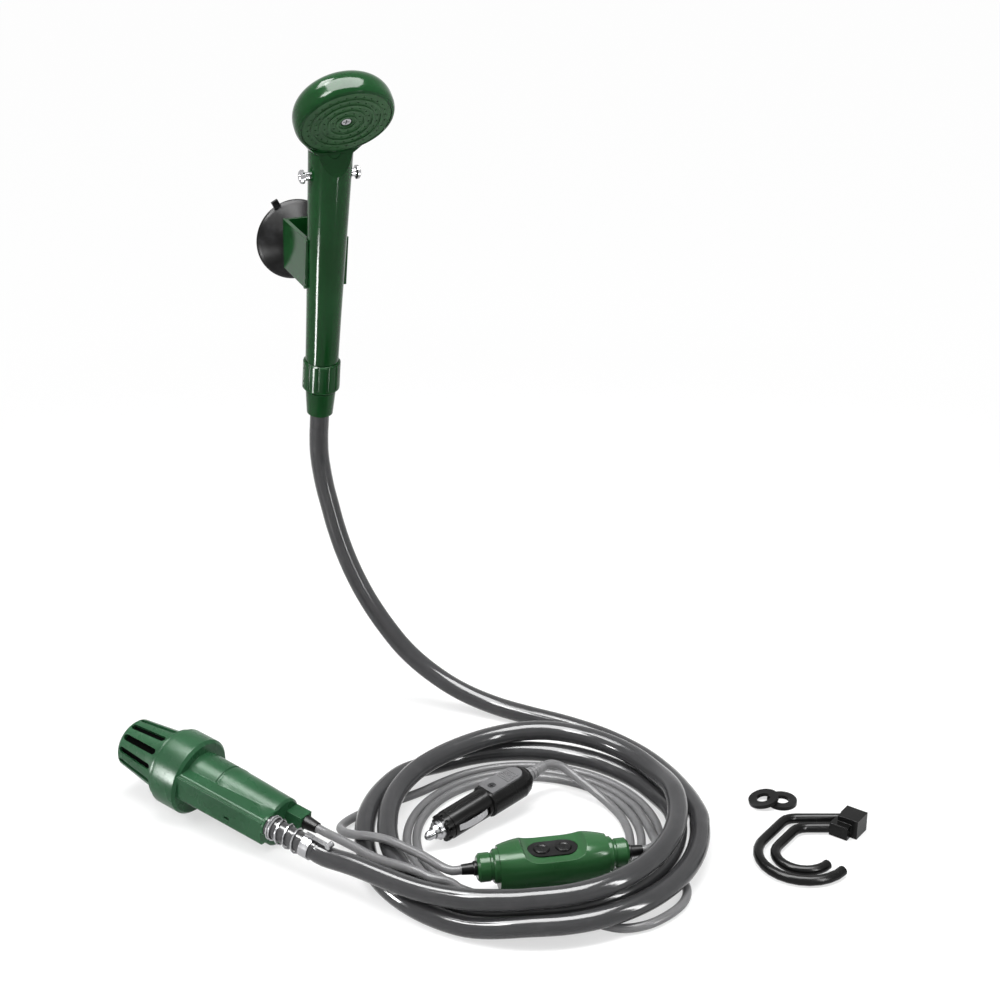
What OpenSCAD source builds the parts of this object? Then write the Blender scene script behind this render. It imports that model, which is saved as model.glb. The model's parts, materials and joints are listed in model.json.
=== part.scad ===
// Camp shower: a submersible pump with its strainer, a hose with a shower
// handset in a suction-cup holder, and a lead with a push-button switch and
// a vehicle socket plug. A double hook and two spare washers lie beside it.
// Sizes are in millimetres. The holder's wall is square to Y and the handset
// faces -Y. What lies on the floor is laid out in a plan frame that is turned
// by plan_turn about the vertical.

/* [Handset] */
// Diameter of the handle at its top
handle_top_d = 31; // [28:0.5:35]
// Diameter of the handle at its foot
handle_foot_d = 23.8; // [22.8:0.2:28]
// Length of the handle from the hanging studs to its foot
handle_l = 142; // [130:1:155]
// Length of the handle above the hanging studs
handle_cap = 18; // [14:1:24]
// Forward lean of the handle in the holder
handle_lean = 9; // [6:0.5:12]
// Diameter of the spray head
head_d = 68.5; // [64:0.5:76]
// Thickness of the spray head
head_t = 24; // [20:1:30]
// Diameter of the spray plate
plate_d = 61; // [52:1:62]
// Downward dip of the spray plate's face from the handle's front
face_dip = 32; // [28:1:40]
// Diameter of a hanging stud's head
stud_d = 9.6; // [8:0.2:12]
// Height of the hanging studs above the floor
stud_z = 414; // [400:1:430]
// Sideways tilt of the handset and its holder
hand_tilt = 1.2; // [0:0.1:4]

/* [Hose joint] */
// Outside diameter of the hose
hose_d = 14; // [12:0.5:14.5]
// Bore of the hose
hose_bore = 10; // [8:0.5:10.5]
// Outside diameter of the union nut
nut_d = 27; // [25.5:0.5:29]
// Height of the union nut
nut_h = 23; // [20:1:28]
// Number of grip flutes on the union nut
nut_flutes = 12; // [8:1:16]
// Length of the tapered ferrule below the nut
ferrule_l = 19.5; // [16:0.5:24]

/* [Holder] */
// Height of the clip's arms
clip_h = 36; // [28:1:44]
// Distance from the handle's axis to the clip's back plate
clip_reach = 44; // [38:1:52]
// Thickness of the clip's back plate
clip_plate = 2.6; // [2:0.2:4]
// Diameter of the suction cup
cup_d = 59; // [52:1:62]
// Depth of the suction cup from the plate to the wall
cup_depth = 17.5; // [15:0.5:22]

/* [Pump] */
// Diameter of the pump's collar
collar_d = 55.5; // [52:0.5:60]
// Length of the pump's collar
collar_l = 23; // [23:1:30]
// Diameter of the motor housing at the collar
motor_housing_d = 39; // [37:0.5:41]
// Diameter of the motor housing at its outlet end
housing_end_d = 34.5; // [33:0.5:36]
// Length of the motor housing past the collar
housing_l = 74; // [70:1:86]
// Diameter of the strainer at the collar
strainer_d = 45; // [40:1:46]
// Diameter of the strainer at its closed end
strainer_end_d = 35.5; // [32:0.5:39]
// Length of the strainer
strainer_l = 40; // [34:1:46]
// Number of strainer slots
strainer_slots = 12; // [8:1:14]
// Width of a strainer slot
slot_w = 4.4; // [3:0.2:5]
// Diameter of the motor
motor_d = 24.4; // [20:0.2:25]
// Length of the motor
motor_l = 34; // [28:1:40]
// Diameter of the motor shaft
shaft_d = 3.2; // [2:0.2:4]
// Diameter of the impeller
impeller_d = 33; // [26:1:37]
// Number of impeller blades
impeller_blades = 6; // [4:1:8]

/* [Lead] */
// Diameter of the electric cable
cable_d = 6; // [5:0.5:6.2]
// Length of the switch housing without its necks
switch_l = 72; // [70:1:80]
// Width of the switch housing
switch_w = 33; // [29:1:36]
// Height of the switch housing at its peaks
switch_h = 31; // [28:1:34]
// Diameter of the switch necks
neck_d = 19; // [16:0.5:19.5]
// Diameter of a switch button
button_d = 10.4; // [8:0.2:11]
// Diameter of the plug barrel
plug_d = 20.5; // [19.5:0.1:21]
// Length of the plug barrel
plug_barrel_l = 34; // [30:1:40]
// Length of the plug's rear grip
plug_grip_l = 40; // [34:1:46]

/* [Hook and washers] */
// Diameter of the hook's rods
hook_rod_d = 7; // [5:0.5:8]
// Radius of the hook's outer rod
hook_outer_r = 30; // [28:1:34]
// Radius of the hook's inner rod
hook_inner_r = 18.5; // [16:0.5:20]
// Outside diameter of a spare washer
washer_d = 21; // [18:0.5:24]
// Hole of a spare washer
washer_hole = 10; // [8:0.5:12]
// Thickness of a spare washer
washer_t = 2.6; // [2:0.2:3.2]

/* [Layout] */
// Place of the hook to the right of the set's middle
hook_x = 203; // [198:1:212]
// Place of the hook to the front of the set's middle
hook_y = -67; // [-74:1:-62]
// Place of the washers to the right of the set's middle
washers_x = 198; // [194:1:206]
// Place of the washers to the front of the set's middle
washers_y = 2; // [-2:1:8]

/* [Hidden] */

$fn = 64;
hull_fn = 32;
// Clearance of a push fit, clearance of a running fit, overshoot of a cut
fit = 0.2;
run = 0.3;
cut = 1;

// Colours as the set shows them
gloss_green = "#1c502d";
satin_green = "#3c7350";
hose_grey = "#55565a";
cable_grey = "#96979a";
black = "#1b1b1d";
panel_grey = "#77787b";
chrome = "#c9ccd0";
board_green = "#2c5a3a";

// The plan frame: where it lies and how it is turned
plan_turn = 25;
plan_x = 10.46;
plan_y = -35.21;
function turned(p, a) = [
  p.x * cos(a) - p.y * sin(a), p.x * sin(a) + p.y * cos(a), p.z];
function placed(p) = turned(p, -plan_turn) + [plan_x, plan_y, 0];
module plan(at, yaw = 0) {
  translate(placed(at)) rotate([0, 0, yaw - plan_turn]) children();
}

// The handset frame: origin between the studs, Z up along the handle
hand_at = [-116, 140, stud_z];
module hand() {
  translate(placed(hand_at)) rotate([handle_lean, hand_tilt, 0]) children();
}
// The frame of the holder at the same point: its Y is square to the wall
module holder() {
  translate(placed(hand_at)) rotate([0, hand_tilt, 0]) children();
}
module along_x() {
  rotate([0, 90, 0]) children();
}
module both_sides() {
  children();
  mirror([1, 0, 0]) children();
}

// Handle
foot_r = handle_foot_d / 2;
top_r = handle_top_d / 2;
waist_l = 41;
waist_r = foot_r + 0.7;
stud_r = top_r - 0.5;
spigot_r = 9.5;
spigot_l = 16;
water_r = 6;
socket_r = 9;
socket_l = 12;
function handle_points(grow) = [
  [foot_r + grow, -handle_l], [waist_r + grow, -handle_l + waist_l],
  [stud_r + grow, 0], [top_r + grow, handle_cap]];
stud_neck_r = 2.9;
stud_screw_r = 2.4;
stud_seat = 9;

module handle() {
  color(gloss_green) hand() difference() {
    union() {
      rotate_extrude()
        polygon(concat([[0, -handle_l]], handle_points(0), [[0, handle_cap]]));
      translate([0, 0, -handle_l - spigot_l]) cylinder(r = spigot_r, h = spigot_l + cut);
    }
    translate([0, 0, -handle_l - spigot_l - cut])
      cylinder(r = water_r, h = handle_l + spigot_l + handle_cap);
    translate([0, 0, handle_cap - socket_l])
      cylinder(r = socket_r, h = socket_l + cut);
    both_sides() translate([stud_seat, 0, 0]) along_x()
      cylinder(r = stud_screw_r + fit, h = top_r);
    neck_scoop();
  }
}

module hanging_studs() {
  stud_head_t = 3;
  stud_out = 3.4;
  color(chrome) hand() both_sides() translate([stud_seat, 0, 0]) along_x()
    rotate_extrude() polygon([
      [0, 0.5], [stud_screw_r, 0.5], [stud_screw_r, stud_r - stud_seat + fit],
      [stud_neck_r, stud_r - stud_seat + fit],
      [stud_neck_r, stud_r - stud_seat + stud_out],
      [stud_d / 2, stud_r - stud_seat + stud_out + 0.6],
      [stud_d / 2, stud_r - stud_seat + stud_out + stud_head_t - 0.8],
      [stud_d / 2 - 0.8, stud_r - stud_seat + stud_out + stud_head_t],
      [stud_neck_r - 0.6, stud_r - stud_seat + stud_out + stud_head_t],
      [stud_neck_r - 1.4, stud_r - stud_seat + stud_out + stud_head_t - 1],
      [0, stud_r - stud_seat + stud_out + stud_head_t - 1]]);
}

// Spray head
face_fwd = 27;
face_up = handle_cap + 29;
head_r = head_d / 2;
plate_r = plate_d / 2;
plate_t = 3.5;
chamber_r = plate_r - 3.5;
chamber_h = 7;
seal_w = 2.2;
seal_t = 1.4;
screw_r = 1.6;
screw_head_r = 3.2;
screw_head_t = 2;
screw_recess = 1.2;
feed_r = 4.2;
feed_back = 2;
rim_t = 2.5;
scoop_reach = 30;
scoop_slope = 0.57;
module puck() {
  translate([0, -face_fwd, face_up]) rotate([-(90 - face_dip), 0, 0]) children();
}
// What is scooped out of the neck below the head's rim, so that its face is clear
module neck_scoop() {
  puck() translate([0, 0, -scoop_reach])
    cylinder(r1 = head_r + scoop_slope * (scoop_reach + rim_t), r2 = head_r,
      h = scoop_reach + rim_t);
}
module head_puck() {
  shoulder = head_t - 9;
  crown_r = head_r - shoulder;
  rotate_extrude() union() {
    polygon([
      [0, 0], [head_r - 3.2, 0], [head_r - 1.5, 0.8], [head_r - 0.5, rim_t],
      [head_r, rim_t + 2.5], [head_r, 9], [0, 9]]);
    translate([0, 9]) square([crown_r, shoulder]);
    intersection() {
      translate([crown_r, 9]) circle(r = shoulder);
      translate([crown_r - cut, 9]) square([shoulder + cut, shoulder]);
    }
  }
}

module head_shell() {
  seat_z = run + plate_t;
  color(gloss_green) hand() difference() {
    union() {
      puck() head_puck();
      difference() {
        union() {
          hull() {
            translate([0, 0, handle_cap]) cylinder(r = top_r, h = 1.5, $fn = hull_fn);
            puck() translate([0, 0, 3]) cylinder(r = head_r - 1, h = 9, $fn = hull_fn);
          }
          translate([0, 0, handle_cap - socket_l + fit])
            cylinder(r = socket_r - fit, h = socket_l);
        }
        neck_scoop();
      }
    }
    puck() {
      translate([0, 0, -cut]) cylinder(r = plate_r + run, h = seat_z + cut);
      cylinder(r = chamber_r, h = seat_z + chamber_h);
      difference() {
        cylinder(r = chamber_r + 0.5 + seal_w + fit, h = seat_z + seal_t);
        cylinder(r = chamber_r + 0.5 - fit, h = head_t);
      }
      cylinder(r = screw_r, h = seat_z + chamber_h + 8);
    }
    translate([0, -feed_back, 0]) cylinder(r = feed_r, h = handle_cap + 16);
  }
}

// The plate carries raised rings with rows of jets between them
jet_r = 0.6;
jet_rows = [[9.6, 10], [15.4, 16], [21.2, 22], [26.6, 28]];
ring_rows = [6.6, 12.5, 18.3, 24];
module spray_plate() {
  ring_w = 1.6;
  ring_h = 0.8;
  color(gloss_green) hand() puck() difference() {
    union() {
      translate([0, 0, run]) cylinder(r = plate_r, h = plate_t);
      for (r = ring_rows)
        translate([0, 0, run - ring_h]) difference() {
          cylinder(r = r + ring_w / 2, h = ring_h + fit);
          translate([0, 0, -cut]) cylinder(r = r - ring_w / 2, h = ring_h + 2 * cut);
        }
    }
    translate([0, 0, -cut])
      cylinder(r = screw_head_r + 1, h = screw_recess + screw_head_t + run + cut - 0.6);
    translate([0, 0, -cut]) cylinder(r = screw_r + fit, h = plate_t + 3 * cut);
    for (row = jet_rows, i = [0 : row[1] - 1])
      rotate([0, 0, i * 360 / row[1]]) translate([row[0], 0, -cut])
        cylinder(r = jet_r, h = plate_t + 3 * cut, $fn = 16);
  }
}

module plate_seal() {
  color(black) hand() puck() translate([0, 0, run + plate_t]) difference() {
    cylinder(r = chamber_r + 0.5 + seal_w, h = seal_t);
    translate([0, 0, -cut]) cylinder(r = chamber_r + 0.5, h = seal_t + 2 * cut);
  }
}

module spray_screw() {
  head_z = screw_recess + run - 0.6;
  shank_l = plate_t + chamber_h + 3;
  color(chrome) hand() puck() difference() {
    union() {
      translate([0, 0, head_z]) cylinder(r = screw_head_r, h = screw_head_t);
      translate([0, 0, head_z]) cylinder(r = screw_r - 0.05, h = shank_l);
    }
    for (a = [0, 90])
      rotate([0, 0, a]) translate([-2.2, -0.4, head_z - cut]) cube([4.4, 0.8, 1 + cut]);
  }
}

// Union nut, washer and ferrule, stacked down from the handle's foot
washer_seat_t = 1.8;
flange_t = 2.5;
flange_r = spigot_r - 0.1;
throat_r = 8.4;
ferrule_top_r = 11;
ferrule_end_r = 9.5;
hose_r = hose_d / 2;
bore_r = hose_bore / 2;
seal_z = -handle_l - spigot_l - washer_seat_t;
flange_z = seal_z - flange_t;
nut_z = -handle_l - nut_h - run;
cone_z = nut_z - run;
stub_out = 12;

module hose_nut() {
  nut_r = nut_d / 2;
  flute_r = 1.2;
  color(gloss_green) hand() translate([0, 0, nut_z]) difference() {
    rotate_extrude() polygon([
      [throat_r + run, 0], [nut_r - 1.5, 0], [nut_r, 1.5], [nut_r, nut_h - 1],
      [nut_r - 1, nut_h], [spigot_r + run, nut_h],
      [spigot_r + run, flange_z - nut_z - run], [throat_r + run, flange_z - nut_z - run]]);
    for (i = [0 : nut_flutes - 1])
      rotate([0, 0, i * 360 / nut_flutes]) translate([nut_r + 0.5, 0, 3])
        cylinder(r = flute_r, h = nut_h, $fn = 24);
  }
}

module sealing_washer() {
  color(black) hand() translate([0, 0, seal_z]) difference() {
    cylinder(r = flange_r - 0.3, h = washer_seat_t);
    translate([0, 0, -cut]) cylinder(r = bore_r - 0.4, h = washer_seat_t + 2 * cut);
  }
}

module hose_ferrule() {
  barb_r = bore_r - 0.1;
  barb_l = 14;
  sleeve_top = cone_z - 2;
  color(gloss_green) hand() difference() {
    union() {
      translate([0, 0, flange_z]) cylinder(r = flange_r, h = flange_t);
      translate([0, 0, sleeve_top]) cylinder(r = throat_r, h = flange_z - sleeve_top + cut);
      translate([0, 0, cone_z - ferrule_l]) rotate_extrude() polygon([
        [hose_r + 0.05, 0], [ferrule_end_r, 0], [ferrule_top_r, ferrule_l - 1],
        [ferrule_top_r - 1, ferrule_l], [0, ferrule_l], [0, ferrule_l - 2],
        [hose_r + 0.05, ferrule_l - 2]]);
      translate([0, 0, sleeve_top - barb_l]) cylinder(r = barb_r, h = barb_l + cut);
    }
    translate([0, 0, sleeve_top - barb_l - cut])
      cylinder(r = barb_r - 1.6, h = barb_l + nut_h + ferrule_l);
  }
}

stub_top = cone_z - 2;
stub_end = cone_z - ferrule_l - stub_out;
module hose_top_stub() {
  color(hose_grey) hand() translate([0, 0, stub_end]) difference() {
    cylinder(r = hose_r, h = stub_top - stub_end);
    translate([0, 0, -cut]) cylinder(r = bore_r, h = stub_top - stub_end + 2 * cut);
  }
}

// Holder: a clip whose arms follow the handle's taper, and its suction cup
clip_mid = -65;
clip_axis_y = -clip_mid * tan(handle_lean);
plate_y = clip_axis_y + clip_reach;
arm_in = 12;
arm_t = 3;
arm_past = 1;
cup_stem_r = 5;
cup_nub_r = 7.5;
cup_nub_t = 4;
cup_lip_y = plate_y + clip_plate + cup_depth;

module bracket_clip() {
  lip_w = 0.6;
  lip_t = 2.2;
  top_z = clip_mid + clip_h / 2;
  foot_z = clip_mid - clip_h / 2;
  function tip_y(z) = -z * tan(handle_lean) - arm_past;
  module side(t) {
    rotate([90, 0, 90]) linear_extrude(t) polygon([
      [plate_y + clip_plate, foot_z + 3], [plate_y + clip_plate, top_z + 3],
      [tip_y(top_z), top_z], [tip_y(foot_z), foot_z]]);
  }
  module lip() {
    rotate([90, 0, 90]) linear_extrude(lip_w + cut) polygon([
      [tip_y(foot_z) + lip_t, foot_z], [tip_y(top_z) + lip_t, top_z],
      [tip_y(top_z), top_z], [tip_y(foot_z), foot_z]]);
  }
  color(gloss_green) difference() {
    holder() difference() {
      union() {
        both_sides() {
          translate([arm_in, 0, 0]) side(arm_t);
          translate([arm_in + arm_t - cut, 0, 0]) lip();
        }
        translate([-arm_in - cut, plate_y, foot_z + 3])
          cube([2 * arm_in + 2 * cut, clip_plate, clip_h]);
      }
      translate([0, plate_y - cut, clip_mid]) rotate([-90, 0, 0])
        cylinder(r = cup_stem_r + fit, h = clip_plate + 2 * cut);
    }
    hand() rotate_extrude()
      polygon(concat([[0, -handle_l]], handle_points(run), [[0, handle_cap]]));
  }
}

module suction_cup() {
  cup_r = cup_d / 2;
  neck_r = 9;
  wall = 3;
  tab_angle = 118;
  front = plate_y - fit;
  back = plate_y + clip_plate + fit;
  color(black) holder() translate([0, 0, clip_mid]) {
    rotate([-90, 0, 0]) rotate_extrude() polygon([
      [0, front - cup_nub_t], [cup_nub_r - 1.5, front - cup_nub_t],
      [cup_nub_r, front - cup_nub_t + 1.5], [cup_nub_r, front], [cup_stem_r, front],
      [cup_stem_r, back], [neck_r, back], [neck_r + 1, back + 3],
      [cup_r * 0.52, back + 6], [cup_r * 0.8, cup_lip_y - 5.5],
      [cup_r - 0.6, cup_lip_y - 1.6], [cup_r, cup_lip_y - 0.6], [cup_r, cup_lip_y],
      [cup_r - 1.8, cup_lip_y], [cup_r * 0.8 - 1.4, cup_lip_y - 3],
      [cup_r * 0.52, back + 6 + wall], [neck_r - 4, back + 4 + wall],
      [0, back + 4 + wall]]);
    rotate([0, -tab_angle, 0]) translate([cup_r - 1, cup_lip_y - 3.2, -2.5])
      cube([5.5, 2.6, 5]);
  }
}

// Pump frame: X along the pump from the collar's strainer face to the outlet,
// Z up, nose down so that the collar and the housing's foot rest on the floor
pump_yaw = -34;
pump_pitch = 7.5;
collar_r = collar_d / 2;
function pitched(p, a) = [
  p.x * cos(a) + p.z * sin(a), p.y, -p.x * sin(a) + p.z * cos(a)];
function pump_pt(p) = turned(pitched(p, pump_pitch), pump_yaw) + pump_at;
module pump() {
  plan(pump_at, pump_yaw) rotate([0, pump_pitch, 0]) children();
}

spigot_depth = 9;
socket_in = 23.2;
pump_chamber_r = 20.2;
chamber_x = 10;
wall_x = 18;
wall_t = 4;
motor_x = wall_x + wall_t;
motor_bore = motor_d / 2 + fit;
housing_r = motor_housing_d / 2;
end_r = housing_end_d / 2;
housing_end = collar_l + housing_l;
duct_at = [-16.5, 7];
duct_r = 4;
outlet_at = [-17, 8.6];
outlet_r = 5.2;
gland_at = [8, 3];
wire_r = 4;
duct_box = [[-24, -6], [-6, 14.6]];
corner_r = 4;
pump_z = max((collar_l - 2) * sin(pump_pitch) + collar_r * cos(pump_pitch),
  housing_end * sin(pump_pitch) + end_r * cos(pump_pitch));
pump_at = [-226, 3.5, pump_z];

module duct_profile() {
  low = duct_box[0];
  high = duct_box[1];
  translate([low.x + corner_r, low.y])
    square([high.x - low.x - corner_r, high.y - low.y]);
  translate([low.x, low.y + corner_r])
    square([corner_r + cut, high.y - low.y - corner_r - 1.5]);
  translate([low.x + corner_r, low.y + corner_r]) circle(r = corner_r);
  translate([low.x + corner_r, high.y - 3]) circle(r = 3);
}

module pump_casing() {
  band_l = 30;
  step_x = collar_l + band_l;
  groove_x = step_x - 7;
  step_r = (housing_r + end_r) / 2 + 0.4;
  color(satin_green) pump() difference() {
    union() {
      along_x() rotate_extrude() polygon([
        [0, 0], [collar_r - 1.4, 0], [collar_r - 1.2, 1.6], [collar_r - 0.2, 2],
        [collar_r, 3.2], [collar_r, collar_l - 2], [collar_r - 2, collar_l],
        [housing_r, collar_l], [housing_r - 0.4, groove_x],
        [housing_r - 1.2, groove_x + 0.6], [housing_r - 1.2, groove_x + 2],
        [housing_r - 0.4, groove_x + 2.6], [housing_r - 0.4, step_x],
        [step_r, step_x + 1.6], [end_r, housing_end - 1.5],
        [end_r - 1.5, housing_end], [0, housing_end]]);
      translate([collar_l - cut, 0, 0]) rotate([90, 0, 90])
        linear_extrude(housing_l + cut) duct_profile();
    }
    translate([-cut, 0, 0]) along_x() cylinder(r = socket_in, h = chamber_x + cut);
    along_x() cylinder(r = pump_chamber_r, h = motor_x);
    along_x() cylinder(r = motor_bore, h = motor_x + motor_l + 2);
    translate([wall_x - 5, duct_at.x, duct_at.y]) along_x()
      cylinder(r = duct_r, h = housing_end - wall_x - 12);
    translate([housing_end - 24, outlet_at.x, outlet_at.y]) along_x()
      cylinder(r = outlet_r, h = 24 + cut);
    translate([motor_x + motor_l - 2, gland_at.x, gland_at.y]) along_x()
      cylinder(r = wire_r, h = housing_end);
    translate([step_x + 12, duct_box[0].x - cut, 1]) cube([4.5, 3, 2]);
  }
}

base_r = strainer_d / 2;
tip_end_r = strainer_end_d / 2;
basket_wall = 2;
module strainer_basket() {
  flange_t = 1.6;
  slot_from = -8;
  slot_to = -strainer_l + 5;
  slot_in = tip_end_r - 5;
  color(satin_green) pump() difference() {
    along_x() rotate_extrude() polygon([
      [0, -strainer_l], [tip_end_r - 2, -strainer_l], [tip_end_r, -strainer_l + 2],
      [base_r, -flange_t - run], [collar_r - 2.2, -flange_t - run],
      [collar_r - 2.2, -run], [socket_in - run, -run], [socket_in - run, spigot_depth],
      [base_r - basket_wall, spigot_depth], [base_r - basket_wall, -2],
      [tip_end_r - basket_wall, -strainer_l + 4],
      [tip_end_r - 4, -strainer_l + basket_wall], [0, -strainer_l + basket_wall]]);
    for (i = [0 : strainer_slots - 1])
      rotate([(i + 0.5) * 360 / strainer_slots, 0, 0]) {
        translate([slot_to, -slot_w / 2, slot_in])
          cube([slot_from - slot_to, slot_w, base_r]);
        for (x = [slot_from, slot_to])
          translate([x, 0, slot_in]) cylinder(r = slot_w / 2, h = base_r, $fn = 24);
      }
  }
}
// A fine gauze sleeve that lines the basket behind its slots
module strainer_screen() {
  gauze_t = 0.8;
  outside = basket_wall + 0.1;
  color(black) pump() along_x() rotate_extrude() polygon([
    [base_r - outside, -2.2], [tip_end_r - outside, -strainer_l + 4.2],
    [tip_end_r - outside - gauze_t, -strainer_l + 4.2], [base_r - outside - gauze_t, -2.2]]);
}

seal_r = 5;
module chamber_plate() {
  color(satin_green) pump() translate([wall_x, 0, 0]) difference() {
    along_x() cylinder(r = pump_chamber_r - fit, h = wall_t);
    translate([-cut, 0, 0]) along_x()
      cylinder(r = shaft_d / 2 + run, h = wall_t + 2 * cut);
    translate([2, 0, 0]) along_x() cylinder(r = seal_r, h = wall_t);
    translate([-cut, duct_at.x, duct_at.y]) along_x()
      cylinder(r = duct_r, h = wall_t + 2 * cut);
  }
}

module shaft_seal() {
  color(black) pump() translate([wall_x + 2, 0, 0]) along_x() difference() {
    cylinder(r = seal_r, h = 2);
    translate([0, 0, -cut]) cylinder(r = shaft_d / 2 + 0.15, h = 2 + 2 * cut);
  }
}

shaft_in = 16;
module motor_can() {
  color(chrome) pump() translate([motor_x, 0, 0]) along_x() difference() {
    rotate_extrude() polygon([
      [0, 0], [motor_d / 2 - 1, 0], [motor_d / 2, 1], [motor_d / 2, motor_l - 1],
      [motor_d / 2 - 1, motor_l], [0, motor_l]]);
    translate([0, 0, -cut]) cylinder(r = shaft_d / 2 + 0.15, h = shaft_in + cut);
  }
}

impeller_x = 11;
impeller_l = 6;
module motor_shaft() {
  color(chrome) pump() translate([impeller_x + 0.5, 0, 0]) along_x()
    cylinder(r = shaft_d / 2, h = motor_x + shaft_in - impeller_x - 1);
}

module impeller() {
  hub_r = shaft_d / 2 + 2.6;
  disc_t = 1.4;
  blade_t = 1.4;
  blade_lean = 28;
  disc_x = impeller_l - disc_t;
  color(black) pump() translate([impeller_x, 0, 0]) along_x() difference() {
    union() {
      cylinder(r = hub_r, h = impeller_l);
      translate([0, 0, disc_x]) cylinder(r = impeller_d / 2, h = disc_t);
      intersection() {
        cylinder(r = impeller_d / 2, h = impeller_l);
        for (i = [0 : impeller_blades - 1])
          rotate([0, 0, i * 360 / impeller_blades]) translate([hub_r - 1, 0, 0])
            rotate([0, 0, blade_lean])
              translate([0, -blade_t / 2, 0.5]) cube([impeller_d, blade_t, disc_x]);
      }
    }
    translate([0, 0, 0.5]) cylinder(r = shaft_d / 2, h = impeller_l + cut);
  }
}

// Outlet: barb, hose end, spring guard and band clamp
barb_in = 12;
barb_out = 18;
tail_x = housing_end + 2;
tail_end = tail_x + 40;
spring_x = tail_x + 1;
spring_l = 26;
clamp_x = spring_x + spring_l + 3;
clamp_w = 7;

module outlet_barb() {
  barb_r = bore_r - 0.1;
  color(satin_green) pump() translate([0, outlet_at.x, outlet_at.y]) along_x()
    difference() {
      rotate_extrude() polygon([
        [0, housing_end - barb_in], [outlet_r, housing_end - barb_in],
        [outlet_r, housing_end], [hose_r + 0.6, housing_end],
        [hose_r + 0.6, tail_x - 0.05], [barb_r, tail_x - 0.05],
        [barb_r, tail_x + barb_out - 2], [barb_r - 0.7, tail_x + barb_out],
        [0, tail_x + barb_out]]);
      translate([0, 0, housing_end - barb_in - cut])
        cylinder(r = barb_r - 1.6, h = barb_in + barb_out + 4);
    }
}

module hose_tail() {
  color(hose_grey) pump() translate([tail_x, outlet_at.x, outlet_at.y]) along_x()
    difference() {
      cylinder(r = hose_r, h = tail_end - tail_x);
      translate([0, 0, -cut]) cylinder(r = bore_r, h = tail_end - tail_x + 2 * cut);
    }
}

module hose_clamp() {
  band_t = 0.8;
  lug_h = 3;
  tongue_l = 15;
  color(chrome) pump() {
    translate([clamp_x, outlet_at.x, outlet_at.y]) along_x() difference() {
      cylinder(r = hose_r + 0.05 + band_t, h = clamp_w);
      translate([0, 0, -cut]) cylinder(r = hose_r + 0.05, h = clamp_w + 2 * cut);
    }
    translate([clamp_x + 0.5, outlet_at.x - 1.5, outlet_at.y + hose_r + 0.3])
      cube([clamp_w - 1, 3, lug_h]);
    translate([clamp_x + clamp_w - 2, outlet_at.x - 1.5, outlet_at.y + hose_r + lug_h - 1])
      cube([tongue_l, 3, band_t]);
    translate([clamp_x + clamp_w + tongue_l - 2, outlet_at.x, outlet_at.y + hose_r + lug_h])
      rotate([90, 0, 0]) cylinder(r = 2, h = 5, center = true);
  }
}

gland_l = 13;
gland_w = 11;
module cable_gland() {
  color(satin_green) pump()
    translate([housing_end, gland_at.x, gland_at.y]) difference() {
      translate([0, -gland_w / 2, -gland_w / 2]) cube([gland_l, gland_w, gland_w]);
      translate([-cut, 0, 0]) along_x() cylinder(r = wire_r, h = gland_l + 2 * cut);
    }
}

sheath_x = housing_end + gland_l;
sheath_l = 10;
module gland_sheath() {
  sheath_r = wire_r - 0.05;
  color(black) pump() translate([0, gland_at.x, gland_at.y]) along_x()
    rotate_extrude() polygon([
      [0, sheath_x - 8], [sheath_r, sheath_x - 8], [sheath_r, sheath_x],
      [sheath_r + 0.9, sheath_x], [sheath_r - 0.2, sheath_x + sheath_l],
      [0, sheath_x + sheath_l]]);
}

// Swept tubes: m rings of n points along a route, ends closed
function unit(v) = v / norm(v);
function heading(pts, i) =
  i == 0 ? unit(pts[1] - pts[0]) :
  i == len(pts) - 1 ? unit(pts[i] - pts[i - 1]) :
  unit(unit(pts[i + 1] - pts[i]) + unit(pts[i] - pts[i - 1]));
function square_to(v, t) = unit(v - (v * t) * t);
function sides_of(pts, i = 0, found = []) =
  i == len(pts) ? found :
  let (t = heading(pts, i),
       start = abs(t.z) < 0.8 ? [0, 0, 1] : [1, 0, 0],
       v = square_to(i == 0 ? start : found[i - 1], t))
  sides_of(pts, i + 1, concat(found, [v]));
function ring_points(pts, r, n) =
  let (across = sides_of(pts))
  [for (i = [0 : len(pts) - 1])
    let (t = heading(pts, i), u = across[i], v = cross(t, u))
    for (k = [0 : n - 1])
      let (a = (k + 0.5) * 360 / n) pts[i] + r * (u * cos(a) + v * sin(a))];
module skin(points, m, n) {
  sides = [for (i = [0 : m - 2], k = [0 : n - 1])
    let (a = i * n + k, b = i * n + (k + 1) % n)
    each [[a, a + n, b], [b, a + n, b + n]]];
  caps = [for (k = [1 : n - 2]) each [
    [0, k, k + 1],
    [(m - 1) * n, (m - 1) * n + k + 1, (m - 1) * n + k]]];
  polyhedron(points = points, faces = concat(sides, caps));
}
module tube(pts, r, n) {
  skin(ring_points(pts, r, n), len(pts), n);
}
function route(pts) = [for (p = pts) placed(p)];
function length_of(pts) = len(pts) < 2 ? 0 :
  let (steps = [for (i = [1 : len(pts) - 1]) norm(pts[i] - pts[i - 1])])
  [for (i = 0, s = 0; i < len(steps); s = s + steps[i], i = i + 1) s + steps[i]]
  [len(steps) - 1];
// Least distance between points of a path that lie over `apart` points apart
function self_gap(pts, apart, d) = min([
  for (i = [0 : len(pts) - 1 - apart], j = [i + apart : len(pts) - 1])
    norm(pts[i] - pts[j])]) - d;
// A point a little before the start of a path, or past its end, in line with it
function before(pts, l) = pts[0] - l * unit(pts[1] - pts[0]);
function past(pts, l) = let (n = len(pts)) pts[n - 1] + l * unit(pts[n - 1] - pts[n - 2]);
function ease(t) = let (u = min(1, max(0, t))) u * u * (3 - 2 * u);

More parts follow.
